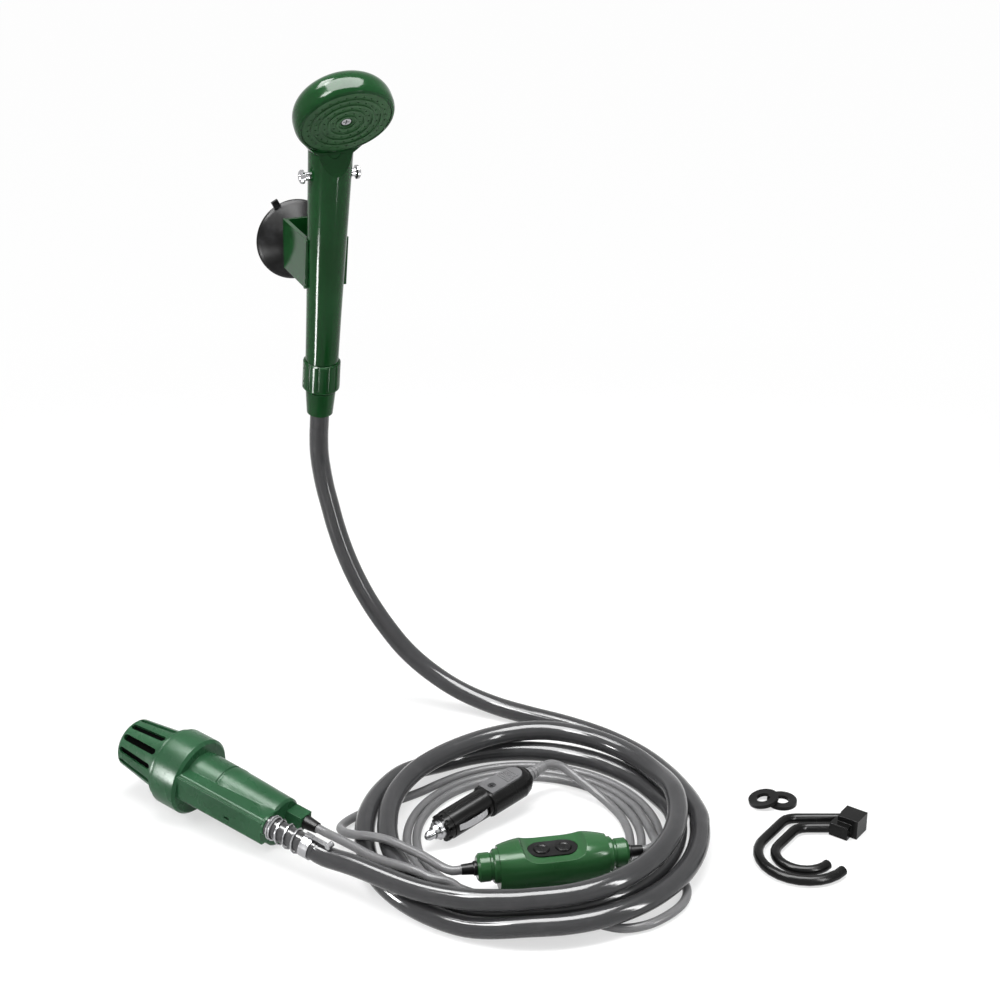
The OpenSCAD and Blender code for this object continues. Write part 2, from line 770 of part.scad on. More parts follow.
// Hose coil: it runs clockwise from the riser, spirals in on the floor and out
// again on top, and lifts over the cable at the right front and at the left
loop_rings = 24;
coil_at = [18, -46, 0];
coil_r = 121;
coil_step = hose_d + 1.4;
coil_layer = hose_d + 0.8;
coil_from = 90;
coil_turn_back = 630;
coil_to = 900;
coil_lean = 13;
lift_h = cable_d + 0.6;
climb_from = 540;
climb_to = 690;
function bump(a, from, to, run_up) = min(ease((a - from) / run_up), ease((to - a) / run_up));
function coil_lift(a) = lift_h * max(bump(a, 250, 330, 28),
  max([for (turn = [0 : 360 : 720]) bump(a - turn, 60, 204, 28)]));
function coil_up(a) = ease((a - climb_from) / (climb_to - climb_from));
function coil_radius(a) = coil_r - coil_step / 360 *
  (a < coil_turn_back ? a : 2 * coil_turn_back - a);
function coil_back(a) = coil_lean * ease((a - climb_to + 15) / 60) * (1 + cos(a)) / 2;
function coil_pt(a) = coil_at + [
  coil_radius(a) * sin(a), coil_radius(a) * cos(a) + coil_back(a),
  hose_r + coil_layer * coil_up(a) + coil_lift(a)];
coil_pts = [for (a = [coil_from : 360 / loop_rings : coil_to]) coil_pt(a)];
echo(hose_coil_gap = self_gap(coil_pts, loop_rings / 2, hose_d));

// Free stretches of the hose
function hand_pt(z) = hand_at + turned([z * cos(handle_lean) * sin(hand_tilt),
  -z * sin(handle_lean), z * cos(handle_lean) * cos(hand_tilt)], plan_turn);
riser_pts = concat([hand_pt(stub_end), hand_pt(stub_end - 8)], [
  [-133.7, 168.8, 197], [-132.5, 169.4, 182.5], [-130.3, 169.3, 168], [-127.1, 168.4, 153.5],
  [-123.6, 166.5, 139],
  [-117.5, 163, 119.7], [-109.6, 159, 100.7], [-99.6, 155, 81.6], [-87, 150.5, 62.6],
  [-71.6, 145.6, 43.8], [-52.6, 140, 28], [-30, 132, 16], [-3, 121.4, 9], [26, 108.5, 7],
  [54, 94, 7], [80, 76, 7], [103, 52, 7.2], [119, 24, 8.6], [129, -4, 11], [134, -26, 13]],
  [before(coil_pts, 8), coil_pts[0]]);
lead_pts = concat([for (l = [0, 10]) pump_pt([tail_end + l, outlet_at.x, outlet_at.y])], [
  [-95, -104.5, 20.8], [-78, -116.5, 21.4], [-63, -127, 21.8], [-49, -135.5, 22.4],
  [-33, -143, 23.6], [-16, -148.8, 25.4]],
  [past(coil_pts, 8), coil_pts[len(coil_pts) - 1]]);
echo(hose_length = length_of(riser_pts) + length_of(coil_pts) + length_of(lead_pts));

module hose_riser() {
  color(hose_grey) tube(route(riser_pts), hose_r, 12);
}
module hose_coil() {
  color(hose_grey) tube(route(coil_pts), hose_r, 6);
}
module hose_lead() {
  color(hose_grey) tube(route(lead_pts), hose_r, 12);
}

// A visible spring: closed turns at its start, then open ones
module spring_coil(l, r, wire_r, turns, closed) {
  rings = 16;
  function z_at(n) = n < closed ? n * (2 * wire_r + 0.5)
    : closed * (2 * wire_r + 0.5) + (l - closed * (2 * wire_r + 0.5))
      * (n - closed) / (turns - closed);
  pts = [for (i = [0 : turns * rings])
    let (a = i * 360 / rings) [r * cos(a), r * sin(a), z_at(i / rings)]];
  echo(spring_gap = self_gap(pts, rings - 1, 2 * wire_r));
  tube(pts, wire_r, 6);
}
module hose_spring() {
  wire_r = 0.7;
  color(chrome) pump()
    translate([spring_x + wire_r, outlet_at.x, outlet_at.y]) along_x()
      spring_coil(spring_l - 2 * wire_r, hose_r + wire_r + run, wire_r, 5, 2);
}

// Cable from the pump to the switch
cable_r = cable_d / 2;
cable_z = cable_r + 0.2;
function polar(r, a, z) = coil_at + [r * cos(a), r * sin(a), z];
switch_at = [34, -101.5, cable_d + 0.4];
switch_yaw = 10.7;
switch_axis_z = 16.6;
neck_l = 14;
relief_l = 10;
cable_end_x = switch_l / 2 + neck_l + relief_l;
function switch_pt(x) = switch_at + turned([x, 0, switch_axis_z], switch_yaw);
pump_cable_pts = concat(
  [for (l = [0, 8]) pump_pt([sheath_x + sheath_l + l, gland_at.x, gland_at.y])], [
  [-109.3, -67.6, 17.4], [-98, -77.4, 17.6], [-85, -89, 17.8], [-73, -98.4, 19],
  [-61.5, -106.6, 20.8], [-51, -113.3, 21], [-42.5, -118, 20]],
  [polar(87.6, -124.5, 17), polar(86.2, -118, 11.4), polar(86.2, -111.5, 6.6),
   polar(86.8, -105, 4)],
  [for (a = [-97, -89, -82]) polar(87, a, cable_z)],
  [polar(90, -75, cable_z), polar(98, -69, cable_z), polar(110, -64, cable_z),
   polar(119, -59, cable_z), polar(124, -52, cable_z), polar(125.5, -44, cable_z),
   polar(125, -37, cable_z), polar(121, -31, cable_z), polar(113, -26, cable_z),
   polar(103, -23, cable_z), polar(95, -18, cable_z), polar(91.5, -10, cable_z)],
  [for (a = [0 : 12 : 132]) polar(91, a, cable_z)],
  [polar(92.5, 141, cable_z), polar(97, 149, cable_z), polar(104, 156, cable_z),
   polar(112, 162, cable_z), polar(119.5, 167.5, 3.6), polar(125, 173, 5),
   polar(126.5, 178.5, 8), polar(122, 184.5, 13), polar(115, 189.5, 17.6)],
  [[-89.8, -70.1, 20.6], [-80, -76.8, 23.4], [-72, -82.4, 24.6], [-62, -90, 24.8],
   [-52.5, -97.5, 24.8], [-44, -105.3, 24.6], [-37, -111.4, 24]],
  [switch_pt(-cable_end_x - 6), switch_pt(-cable_end_x)]);
echo(pump_cable_length = length_of(pump_cable_pts));

// Cable from the switch to the plug
lead_coil_from = 30;
lead_coil_to = 705;
lead_coil_r = 84;
lead_coil_step = cable_d + 0.6;
function lead_coil_pt(a) =
  polar(lead_coil_r - lead_coil_step * (a - lead_coil_from) / 360, a, cable_z);
lead_coil_pts = [for (a = [lead_coil_from : 360 / loop_rings : lead_coil_to])
  lead_coil_pt(a)];
echo(cable_coil_gap = self_gap(lead_coil_pts, loop_rings / 2, cable_d));
plug_at = [-50, -58];
plug_yaw = 42;
plug_pitch = -6;
plug_tip_z = 10.6;
plug_pin_l = 7;
plug_cap_l = 7;
plug_ring_l = 5;
plug_relief_l = 16;
ring_x = plug_pin_l + plug_cap_l;
barrel_x = ring_x + plug_ring_l;
grip_x = barrel_x + plug_barrel_l;
grip_end = grip_x + plug_grip_l;
plug_end = grip_end + plug_relief_l;
function plug_pt(x) = [plug_at.x, plug_at.y, plug_tip_z]
  + turned(pitched([x, 0, 0], plug_pitch), plug_yaw);
lead_in_pts = concat([switch_pt(cable_end_x), switch_pt(cable_end_x + 2)], [
  [97.6, -88.8, 22.9], [100.3, -86.4, 22.6], [102.2, -83.4, 22], [103.4, -79.6, 21],
  [104, -73.5, 18], [104, -66, 14], [103.6, -56, 9.4], [103, -46, 6], [101.6, -35, 4.1],
  [98.8, -23.5, 3.3]],
  [before(lead_coil_pts, 6), lead_coil_pts[0]]);
tail_pts = concat([lead_coil_pts[len(lead_coil_pts) - 1], past(lead_coil_pts, 2)], [
  [88.2, -52, cable_z], [87.6, -38, cable_z], [84, -22, cable_z], [78, -9.5, 3.8],
  [71.5, -1, 5.6], [64.7, 5.4, 8.4], [56.5, 11.2, 12.2], [48.3, 16.9, 16.6],
  [45.2, 18.4, 18.2], [40.8, 19.2, 20], [36.4, 18.4, 21.5]],
  [plug_pt(plug_end + 2), plug_pt(plug_end)]);
echo(plug_cable_length = length_of(lead_in_pts) + length_of(lead_coil_pts)
  + length_of(tail_pts));

module pump_cable() {
  color(cable_grey) tube(route(pump_cable_pts), cable_r, 8);
}
module plug_cable_lead() {
  color(cable_grey) tube(route(lead_in_pts), cable_r, 8);
}
module plug_cable_coil() {
  color(cable_grey) tube(route(lead_coil_pts), cable_r, 6);
}
module plug_cable_tail() {
  color(cable_grey) tube(route(tail_pts), cable_r, 8);
}

// Switch frame: X along the lead, origin on the floor under its middle
module switch_box() {
  plan(switch_at, switch_yaw) children();
}
switch_wall = 2.2;
split_z = switch_axis_z - neck_d / 2 - 0.2;
saddle_z = switch_h - 6;
pad_l = 33;
pad_w = 17;
pad_t = 3;
button_gap = 14.5;
button_rise = 1.8;
press = 1.2;
roof_t = 1.4;

// The housing is a pillow: rounded sections that swell to a peak on each side
// of a scooped saddle
section_sides = 28;
function soft(c, n) = sign(c) * pow(abs(c), 2 / n);
function switch_half(x) = switch_w / 2 * (1 - 0.26 * pow(abs(x) / (switch_l / 2), 4));
function switch_top(x) = let (half = switch_l / 2, peak = switch_l * 0.3,
    shoulder = switch_axis_z + neck_d / 2 + 2.6)
  abs(x) < peak ? switch_h :
    switch_h - (switch_h - shoulder) * pow((abs(x) - peak) / (half - peak), 1.2);
function switch_section(x) = let (top = switch_top(x), mid = top / 2)
  [for (k = [0 : section_sides - 1]) let (a = (k + 0.5) * 360 / section_sides)
    [x, switch_half(x) * soft(cos(a), 3.2), mid + 0.05 + (mid - 0.05) * soft(sin(a), 2.7)]];
module switch_saddle() {
  ramp = 13;
  floor_l = switch_l * 0.3 - ramp;
  steps = [for (t = [0 : 0.2 : 1]) [floor_l + ramp * t,
    saddle_z + (switch_h - saddle_z + 0.2) * (1 - sqrt(1 - t * t))]];
  rotate([90, 0, 0]) translate([0, 0, -switch_w]) linear_extrude(2 * switch_w)
    polygon(concat(steps, [for (i = [len(steps) - 1 : -1 : 0]) [-steps[i].x, steps[i].y]]));
}
module switch_block() {
  marks = [1, 0.985, 0.94, 0.86, 0.76, 0.66, 0.6, 0.4, 0.2];
  places = concat([for (m = marks) -m], [0], [for (i = [len(marks) - 1 : -1 : 0]) marks[i]]);
  difference() {
    skin([for (t = places) each switch_section(t * switch_l / 2)], len(places), section_sides);
    switch_saddle();
  }
  both_sides() translate([switch_l / 2 - cut, 0, switch_axis_z]) along_x()
    rotate_extrude() polygon([
      [0, 0], [neck_d / 2 + 1.8, 0], [neck_d / 2 + 1.8, cut + 2.6],
      [neck_d / 2 + 0.6, cut + 3.8], [neck_d / 2 - 0.6, cut + 3.8],
      [neck_d / 2 - 0.6, cut + 5.2], [neck_d / 2, cut + 5.8],
      [neck_d / 2, cut + neck_l - 1.8], [neck_d / 2 - 1.8, cut + neck_l],
      [0, cut + neck_l]]);
}
module switch_room() {
  room_l = switch_l - 12;
  room_w = switch_w - 12;
  translate([-room_l / 2, -room_w / 2, switch_wall])
    cube([room_l, room_w, saddle_z - pad_t - roof_t - switch_wall]);
  for (s = [-1, 1])
    translate([s * (switch_l / 2 + neck_l + cut), 0, switch_axis_z]) rotate([0, -s * 90, 0])
      cylinder(r = cable_r + 1.1, h = neck_l + 10);
}
module pad_shape(l, w) {
  translate([-(l - w) / 2, -w / 2]) square([l - w, w]);
  for (s = [-1, 1]) translate([s * (l - w) / 2, 0]) circle(d = w);
}

module switch_upper_shell() {
  color(satin_green) switch_box() difference() {
    switch_block();
    translate([-switch_l, -switch_w, -cut]) cube([2 * switch_l, 2 * switch_w, split_z + cut]);
    switch_room();
    translate([0, 0, saddle_z - pad_t]) linear_extrude(switch_h) pad_shape(pad_l, pad_w);
    for (s = [-1, 1]) translate([s * button_gap / 2, 0, 0])
      cylinder(d = button_d + 2 * run, h = switch_h);
    for (s = [-1, 1]) translate([s * screw_gap / 2, 0, 0])
      cylinder(r = case_screw_r, h = split_z + 5);
  }
}
module switch_lower_shell() {
  color(satin_green) switch_box() difference() {
    intersection() {
      switch_block();
      translate([-switch_l, -switch_w, -cut])
        cube([2 * switch_l, 2 * switch_w, split_z + cut]);
    }
    switch_room();
    for (s = [-1, 1]) translate([s * screw_gap / 2, 0, -cut]) {
      cylinder(r = case_screw_r + fit, h = split_z + 2 * cut);
      cylinder(r = case_head_r + fit, h = cut + case_head_t + 0.5);
    }
  }
}
case_screw_r = 1.3;
case_head_r = 2.5;
case_head_t = 1.9;
screw_gap = switch_l - 7;
module switch_screws() {
  color(chrome) switch_box() for (s = [-1, 1])
    translate([s * screw_gap / 2, 0, 0.4]) {
      cylinder(r = case_head_r, h = case_head_t);
      cylinder(r = case_screw_r - 0.05, h = split_z + 4);
    }
}
module switch_pad() {
  color(black) switch_box() translate([0, 0, saddle_z - pad_t]) difference() {
    linear_extrude(pad_t + 0.8) pad_shape(pad_l - 2 * fit, pad_w - 2 * fit);
    for (s = [-1, 1]) translate([s * button_gap / 2, 0, -cut])
      cylinder(d = button_d + 2 * run, h = pad_t + 3 * cut);
  }
}
board_z = saddle_z - 13;
board_t = 1.6;
button_flange = 1.2;
button_foot = saddle_z - pad_t - roof_t - button_flange - fit;
module button_body(s) {
  color(black) switch_box() translate([s * button_gap / 2, 0, 0]) rotate_extrude()
    polygon([[0, button_foot], [button_d / 2 + 1, button_foot],
      [button_d / 2 + 1, button_foot + button_flange],
      [button_d / 2, button_foot + button_flange],
      [button_d / 2, saddle_z + button_rise - 0.6],
      [button_d / 2 - 0.6, saddle_z + button_rise],
      [button_d / 2 - 1.8, saddle_z + button_rise],
      [button_d / 2 - 2.4, saddle_z + button_rise - 0.5],
      [0, saddle_z + button_rise - 0.5]]);
}
module button_on() {
  button_body(-1);
}
module button_off() {
  button_body(1);
}
module tact_switches() {
  case_w = 6;
  plunger = 1.2;
  top = button_foot - press - 0.1;
  color(black) switch_box() for (s = [-1, 1]) translate([s * button_gap / 2, 0, 0]) {
    translate([-case_w / 2, -case_w / 2, board_z + board_t])
      cube([case_w, case_w, top - plunger - board_z - board_t]);
    translate([0, 0, board_z + board_t]) cylinder(d = 3.4, h = top - board_z - board_t);
  }
}
module switch_board() {
  board_l = switch_l - 13;
  board_w = switch_w - 13;
  post = 3;
  color(board_green) switch_box() {
    translate([-board_l / 2, -board_w / 2, board_z]) cube([board_l, board_w, board_t]);
    for (x = [-1, 1], y = [-1, 1])
      translate([x * (board_l / 2 - post), y * (board_w / 2 - post), switch_wall])
        cylinder(d = post, h = board_z - switch_wall + 0.1);
  }
}
module switch_strain_reliefs() {
  relief_r = cable_r + 1;
  root = 4;
  out_x = neck_l - root;
  color(black) switch_box() both_sides()
    translate([switch_l / 2 + root, 0, switch_axis_z]) along_x() rotate_extrude() polygon([
      [0, 0], [relief_r, 0], [relief_r, out_x + fit], [relief_r + 0.8, out_x + fit],
      [relief_r + 0.8, out_x + 1.8], [relief_r, out_x + 2.4],
      [relief_r - 0.6, out_x + relief_l], [0, out_x + relief_l]]);
}

// Plug frame: X from the tip to the cable
module plug() {
  plan([plug_at.x, plug_at.y, plug_tip_z], plug_yaw) rotate([0, plug_pitch, 0])
    children();
}
plug_r = plug_d / 2;
grip_w = 24;
grip_h = 20;
panel_w = 15;
panel_t = 1.4;
tip_r = 3.4;
cap_r = 6.6;
tip_travel = 3;
bore_tip = tip_r + run;
fuse_r = 3.1;
fuse_l = 30;
contact_w = 5;
contact_t = 0.8;
contact_l = 26;
contact_bow = 2.4;
contact_x = barrel_x + 4;
contact_slot_d = 4.4;
roll_r = 1.3;

panel_x = grip_x + 2;
panel_l = plug_grip_l - 8;
// The panel's outline: square at the barrel, round at the cable
module panel_shape(gap) {
  straight = panel_l - panel_w / 2;
  translate([panel_x + gap, -panel_w / 2 + gap])
    square([straight - gap, panel_w - 2 * gap]);
  translate([panel_x + straight, 0]) circle(r = panel_w / 2 - gap);
}
module grip_shape() {
  round_r = 9.4;
  for (s = [-1, 1], t = [-1, 1])
    translate([s * (grip_w / 2 - round_r), t * (grip_h / 2 - round_r)]) circle(r = round_r);
  square([grip_w - 2 * round_r, grip_h], center = true);
  square([grip_w, grip_h - 2 * round_r], center = true);
}
module plug_body() {
  ridge_w = 2.6;
  color(black) plug() difference() {
    union() {
      translate([barrel_x, 0, 0]) along_x() cylinder(r = plug_r, h = plug_barrel_l + cut);
      translate([grip_x, 0, 0]) rotate([90, 0, 90]) intersection() {
        linear_extrude(plug_grip_l) grip_shape();
        rotate_extrude() polygon([
          [0, 0], [grip_w * 0.46, 0], [grip_w * 0.55, 2], [grip_w * 0.55, plug_grip_l - 16],
          [grip_w * 0.5, plug_grip_l - 10], [grip_w * 0.41, plug_grip_l - 4],
          [grip_w * 0.28, plug_grip_l], [0, plug_grip_l]]);
      }
      translate([barrel_x + 3, -ridge_w / 2, plug_r - 1])
        cube([plug_barrel_l - 6, ridge_w, 1.5]);
    }
    translate([ring_x, 0, 0]) along_x() cylinder(r = tip_flange_r + 1, h = fuse_x - ring_x);
    translate([fuse_x - cut, 0, 0]) along_x()
      cylinder(r = fuse_r + run, h = fuse_l + run + cut);
    translate([0, 0, grip_h / 2 - panel_t]) linear_extrude(panel_t + cut) panel_shape(0);
    translate([grip_x + 8, 0, 0]) cylinder(r = 1.5, h = grip_h);
    translate([grip_end - 12, 0, 0]) along_x() cylinder(r = cable_r + 1, h = 12 + cut);
    for (s = [-1, 1])
      translate([contact_x - 1, s > 0 ? plug_r - contact_slot_d : -plug_r - cut,
        -contact_w / 2 - 0.5])
        cube([contact_l + 2, contact_slot_d + cut, contact_w + 1]);
  }
}
module plug_panel() {
  ribs = 6;
  color(panel_grey) plug() difference() {
    union() {
      translate([0, 0, grip_h / 2 - panel_t]) linear_extrude(panel_t) panel_shape(fit);
      for (i = [0 : ribs - 1])
        translate([grip_x + 18 + i * 1.8, -panel_w / 2 + 2, grip_h / 2 - 0.1])
          cube([0.9, panel_w - 4, 0.5]);
    }
    translate([grip_x + 8, 0, 0]) cylinder(r = 2.9, h = grip_h);
  }
}
module plug_screw() {
  color(chrome) plug() translate([grip_x + 8, 0, 0]) difference() {
    union() {
      translate([0, 0, grip_h / 2 - panel_t]) cylinder(r = 2.6, h = 1);
      translate([0, 0, 1]) cylinder(r = 1.45, h = grip_h / 2 - panel_t);
    }
    for (a = [0, 90]) rotate([0, 0, a])
      translate([-1.8, -0.35, grip_h / 2 - panel_t + 0.4]) cube([3.6, 0.7, 2]);
  }
}
module plug_nose_ring() {
  notches = 10;
  color(black) plug() translate([ring_x, 0, 0]) along_x() difference() {
    cylinder(r = plug_r - 0.4, h = plug_ring_l);
    translate([0, 0, -cut]) cylinder(r = cap_r - 0.6, h = plug_ring_l + 2 * cut);
    for (i = [0 : notches - 1]) rotate([0, 0, i * 360 / notches])
      translate([plug_r - 1.6, -1.1, -cut]) cube([4, 2.2, 3]);
  }
}
module plug_nose_cap() {
  neck_r = cap_r - 0.7;
  color(chrome) plug() along_x() difference() {
    rotate_extrude() polygon([
      [0, plug_pin_l], [cap_r - 2, plug_pin_l], [cap_r - 1.2, plug_pin_l + 2.4],
      [cap_r, plug_pin_l + 3], [cap_r, ring_x - 0.05], [neck_r, ring_x - 0.05],
      [neck_r, barrel_x], [0, barrel_x]]);
    cylinder(r = bore_tip, h = barrel_x + cut);
  }
}
tip_back = barrel_x + 2;
tip_flange_r = tip_r + 0.9;
tip_spring_l = 4;
fuse_x = tip_back + tip_travel + fit + tip_spring_l;
module plug_tip() {
  color(chrome) plug() along_x() rotate_extrude() polygon([
    [0, 0], [1.6, 0.2], [tip_r - 0.4, 2], [tip_r, 3.4], [tip_r, barrel_x + fit],
    [tip_flange_r, barrel_x + fit], [tip_flange_r, tip_back], [0, tip_back]]);
}
module tip_spring() {
  spring_r = fuse_r - 0.3;
  color(chrome) plug() translate([fuse_x - tip_spring_l, 0, 0]) along_x() difference() {
    cylinder(r = spring_r, h = tip_spring_l);
    translate([0, 0, -cut]) cylinder(r = spring_r - 0.9, h = tip_spring_l + 2 * cut);
  }
}
module plug_fuse() {
  color(chrome) plug() translate([fuse_x, 0, 0]) along_x()
    cylinder(r = fuse_r, h = fuse_l);
}
module contact(s) {
  mid = contact_x + contact_l / 2;
  base_y = plug_r - contact_slot_d + fit;
  bow_r = (contact_l * contact_l / 4 + contact_bow * contact_bow) / (2 * contact_bow);
  crest = plug_r + contact_bow * 0.45;
  color(chrome) plug() scale([1, s, 1]) {
    intersection() {
      translate([mid, crest - bow_r, -contact_w / 2]) difference() {
        cylinder(r = bow_r, h = contact_w);
        translate([0, 0, -cut]) cylinder(r = bow_r - contact_t, h = contact_w + 2 * cut);
      }
      translate([contact_x, base_y, -contact_w]) cube([contact_l, plug_r, 2 * contact_w]);
    }
    translate([contact_x + roll_r, base_y + roll_r, -contact_w / 2]) {
      cylinder(r = roll_r, h = contact_w);
      translate([-0.5, 0, 0])
        cube([1, crest - contact_bow - base_y - roll_r, contact_w]);
    }
  }
}
module contact_left() {
  contact(1);
}
module contact_right() {
  contact(-1);
}
module plug_strain_relief() {
  relief_r = cable_r + 2.2;
  ribs = 4;
  pitch = (plug_relief_l - 4) / ribs;
  color(cable_grey) plug() along_x() {
    translate([0, 0, grip_end - 11]) cylinder(r = cable_r + 0.9, h = 12);
    translate([0, 0, grip_end])
      cylinder(r1 = relief_r - 0.8, r2 = cable_r + 0.6, h = plug_relief_l);
    for (i = [0 : ribs - 1])
      translate([0, 0, grip_end + 1 + i * pitch])
        cylinder(r = relief_r - i * 0.4, h = pitch * 0.55);
  }
}

// Double hook: two nested rods that turn from a straight shank into a bow
hook_at = [hook_x, hook_y, hook_rod_d / 2];
hook_rise = 54;
hook_end = -38;
hook_bow = 182;
shank_l = 24;
bend_r = 12;
cube_w = 15;
small_w = 9.5;
function on_circle(r, a) = [r * cos(a), r * sin(a), 0];
function hook_path(r, shank, reach) =
  let (leave = hook_end - hook_bow, ahead = on_circle(1, hook_rise),
       top = on_circle(r, leave) + shank * ahead,
       mid = top + on_circle(bend_r, hook_rise - 90),
       bend = [for (a = [hook_rise + 90 : -18 : 90]) mid + on_circle(bend_r, a)])
  concat([for (a = [hook_end : -13 : leave]) on_circle(r, a)], bend,
    [[reach, bend[len(bend) - 1].y, 0]]);
module hook_rod(r, shank, reach) {
  tube(hook_path(r, shank, reach), hook_rod_d / 2, 12);
}
module hanging_hook() {
  block = [38, 33, 0];
  color(black) plan(hook_at) {
    hook_rod(hook_outer_r, shank_l, block.x - 1);
    hook_rod(hook_inner_r, shank_l - 5, block.x - 9);
    translate(block) rotate([0, 0, -36]) {
      translate([-cube_w / 2, -cube_w / 2, -hook_rod_d / 2])
        cube([cube_w, cube_w, cube_w - 1]);
      for (s = [-1, 1])
        translate([-small_w - 1, s * (cube_w / 2 + 1) - small_w / 2, -hook_rod_d / 2 + 0.5])
          cube([small_w + 4, small_w, small_w]);
    }
  }
}

module washer_ring() {
  difference() {
    cylinder(d = washer_d, h = washer_t);
    translate([0, 0, -cut]) cylinder(d = washer_hole, h = washer_t + 2 * cut);
  }
}
module spare_washers() {
  apart = 12.6;
  tilt = atan((washer_t + run) / apart);
  color(black) {
    plan([washers_x, washers_y, 0]) washer_ring();
    plan([washers_x - apart - washer_d / 2, washers_y - 1, 0]) rotate([0, -tilt, 0])
      translate([washer_d / 2, 0, 0]) washer_ring();
  }
}

handle();
head_shell();
spray_plate();
plate_seal();
spray_screw();
hanging_studs();
sealing_washer();
hose_nut();
hose_ferrule();
hose_top_stub();
bracket_clip();
suction_cup();
strainer_basket();
strainer_screen();
pump_casing();
chamber_plate();
shaft_seal();
motor_can();
motor_shaft();
impeller();
outlet_barb();
cable_gland();
gland_sheath();
hose_tail();
hose_spring();
hose_clamp();
hose_lead();
hose_coil();
hose_riser();
pump_cable();
plug_cable_lead();
plug_cable_coil();
plug_cable_tail();
switch_upper_shell();
switch_lower_shell();
switch_pad();
button_on();
button_off();
tact_switches();
switch_board();
switch_screws();
switch_strain_reliefs();
plug_body();
plug_panel();
plug_screw();
plug_nose_ring();
plug_nose_cap();
plug_tip();
tip_spring();
plug_fuse();
contact_left();
contact_right();
plug_strain_relief();
hanging_hook();
spare_washers();
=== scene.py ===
# %% [markdown]
# # A camp shower, dressed
#
# The set on the floor is a submersible pump, a coiled hose, a shower handset
# in a suction-cup holder, and a lead with a switch and a vehicle plug. The
# rigid pieces arrive finished as solids, so this lesson gives them surfaces,
# and models what is soft: the hose and the cable.

# %% Load the solids
import json
import math

import bmesh
import bpy
from mathutils import Matrix, Vector


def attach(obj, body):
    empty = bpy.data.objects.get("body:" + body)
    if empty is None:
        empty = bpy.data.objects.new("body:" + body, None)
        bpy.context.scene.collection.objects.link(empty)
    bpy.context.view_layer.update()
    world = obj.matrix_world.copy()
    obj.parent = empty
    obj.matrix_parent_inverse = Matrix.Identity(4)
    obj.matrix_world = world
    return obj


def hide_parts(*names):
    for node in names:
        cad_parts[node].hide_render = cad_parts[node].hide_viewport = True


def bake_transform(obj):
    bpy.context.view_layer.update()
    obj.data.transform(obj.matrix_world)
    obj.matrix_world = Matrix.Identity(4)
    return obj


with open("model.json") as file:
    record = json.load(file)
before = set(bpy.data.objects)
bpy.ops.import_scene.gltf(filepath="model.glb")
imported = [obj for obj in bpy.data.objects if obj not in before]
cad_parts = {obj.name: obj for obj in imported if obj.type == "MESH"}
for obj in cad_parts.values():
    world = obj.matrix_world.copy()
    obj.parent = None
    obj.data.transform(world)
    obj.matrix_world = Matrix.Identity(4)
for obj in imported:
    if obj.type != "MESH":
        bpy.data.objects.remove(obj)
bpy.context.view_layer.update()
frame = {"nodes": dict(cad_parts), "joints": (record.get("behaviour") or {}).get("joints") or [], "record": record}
nodes = frame["nodes"]

# %% [markdown]
# ## One ruler for the layout
#
# What lies on the floor was laid out in a plan drawing, with x to the viewer's
# right and y away from the viewer. The model's own frame is that plan turned
# by 25 degrees, so that the handset faces straight along an axis. One function
# turns a plan point in millimetres into a model point in metres.

# %% The plan frame
MM = 0.001
PLAN_TURN = math.radians(25)
PLAN_SHIFT = Vector((10.46, -35.21, 0))


def placed(point):
    """A plan point in millimetres, as a model point in metres."""
    turned = Matrix.Rotation(-PLAN_TURN, 3, "Z") @ Vector(point)
    return (turned + PLAN_SHIFT) * MM


print("plan origin in the model:", [round(v, 4) for v in placed((0, 0, 0))])

# %% [markdown]
# ## The camera
#
# A product picture is taken with a long lens from a little above. A 70 mm lens
# that looks down by 24 degrees gives the same slight narrowing of the coil
# towards the back. A wider lens would swell the pump in the foreground.

# %% Camera
CAMERA_AT = (0, -1160, 750)
LOOK_DOWN = math.radians(24)
LENS = 70
SENSOR = 36

lens = bpy.data.cameras.new("camera")
lens.lens = LENS
lens.sensor_width = SENSOR
camera = bpy.data.objects.new("camera", lens)
camera.location = placed(CAMERA_AT)
camera.rotation_euler = (math.pi / 2 - LOOK_DOWN, 0, -PLAN_TURN)
bpy.context.scene.collection.objects.link(camera)
bpy.context.scene.camera = camera
print("camera at", [round(v, 3) for v in camera.location])

# %% [markdown]
# ## Swept tubes
#
# A hose is a circle carried along a line. Blender can bevel a curve, but a mesh
# made here carries a map of how far along and how far round each point is, for
# streaks in the finish. A smooth line through given points is a Catmull-Rom
# spline.

# %% A smooth line


def smooth_line(points, spacing):
    """Points about `spacing` apart on the spline through the given points."""
    before = 2 * points[0] - points[1]
    after = 2 * points[-1] - points[-2]
    knots = [before] + points + [after]
    line = []
    for p0, p1, p2, p3 in zip(knots, knots[1:], knots[2:], knots[3:]):
        steps = max(1, round((p2 - p1).length / spacing))
        for step in range(steps):
            t = step / steps
            line.append(0.5 * (
                2 * p1 + (p2 - p0) * t
                + (2 * p0 - 5 * p1 + 4 * p2 - p3) * t ** 2
                + (3 * p1 - p0 - 3 * p2 + p3) * t ** 3))
    return line + [points[-1].copy()]


def line_length(line):
    """The sum of the steps between a line's points."""
    return sum((b - a).length for a, b in zip(line, line[1:]))


corner = [Vector((0, 0, 0)), Vector((1, 0, 0)), Vector((1, 1, 0))]
print("a smooth line round a 2 m corner:", round(line_length(smooth_line(corner, 0.05)), 3), "m")

# %% Frames along a line


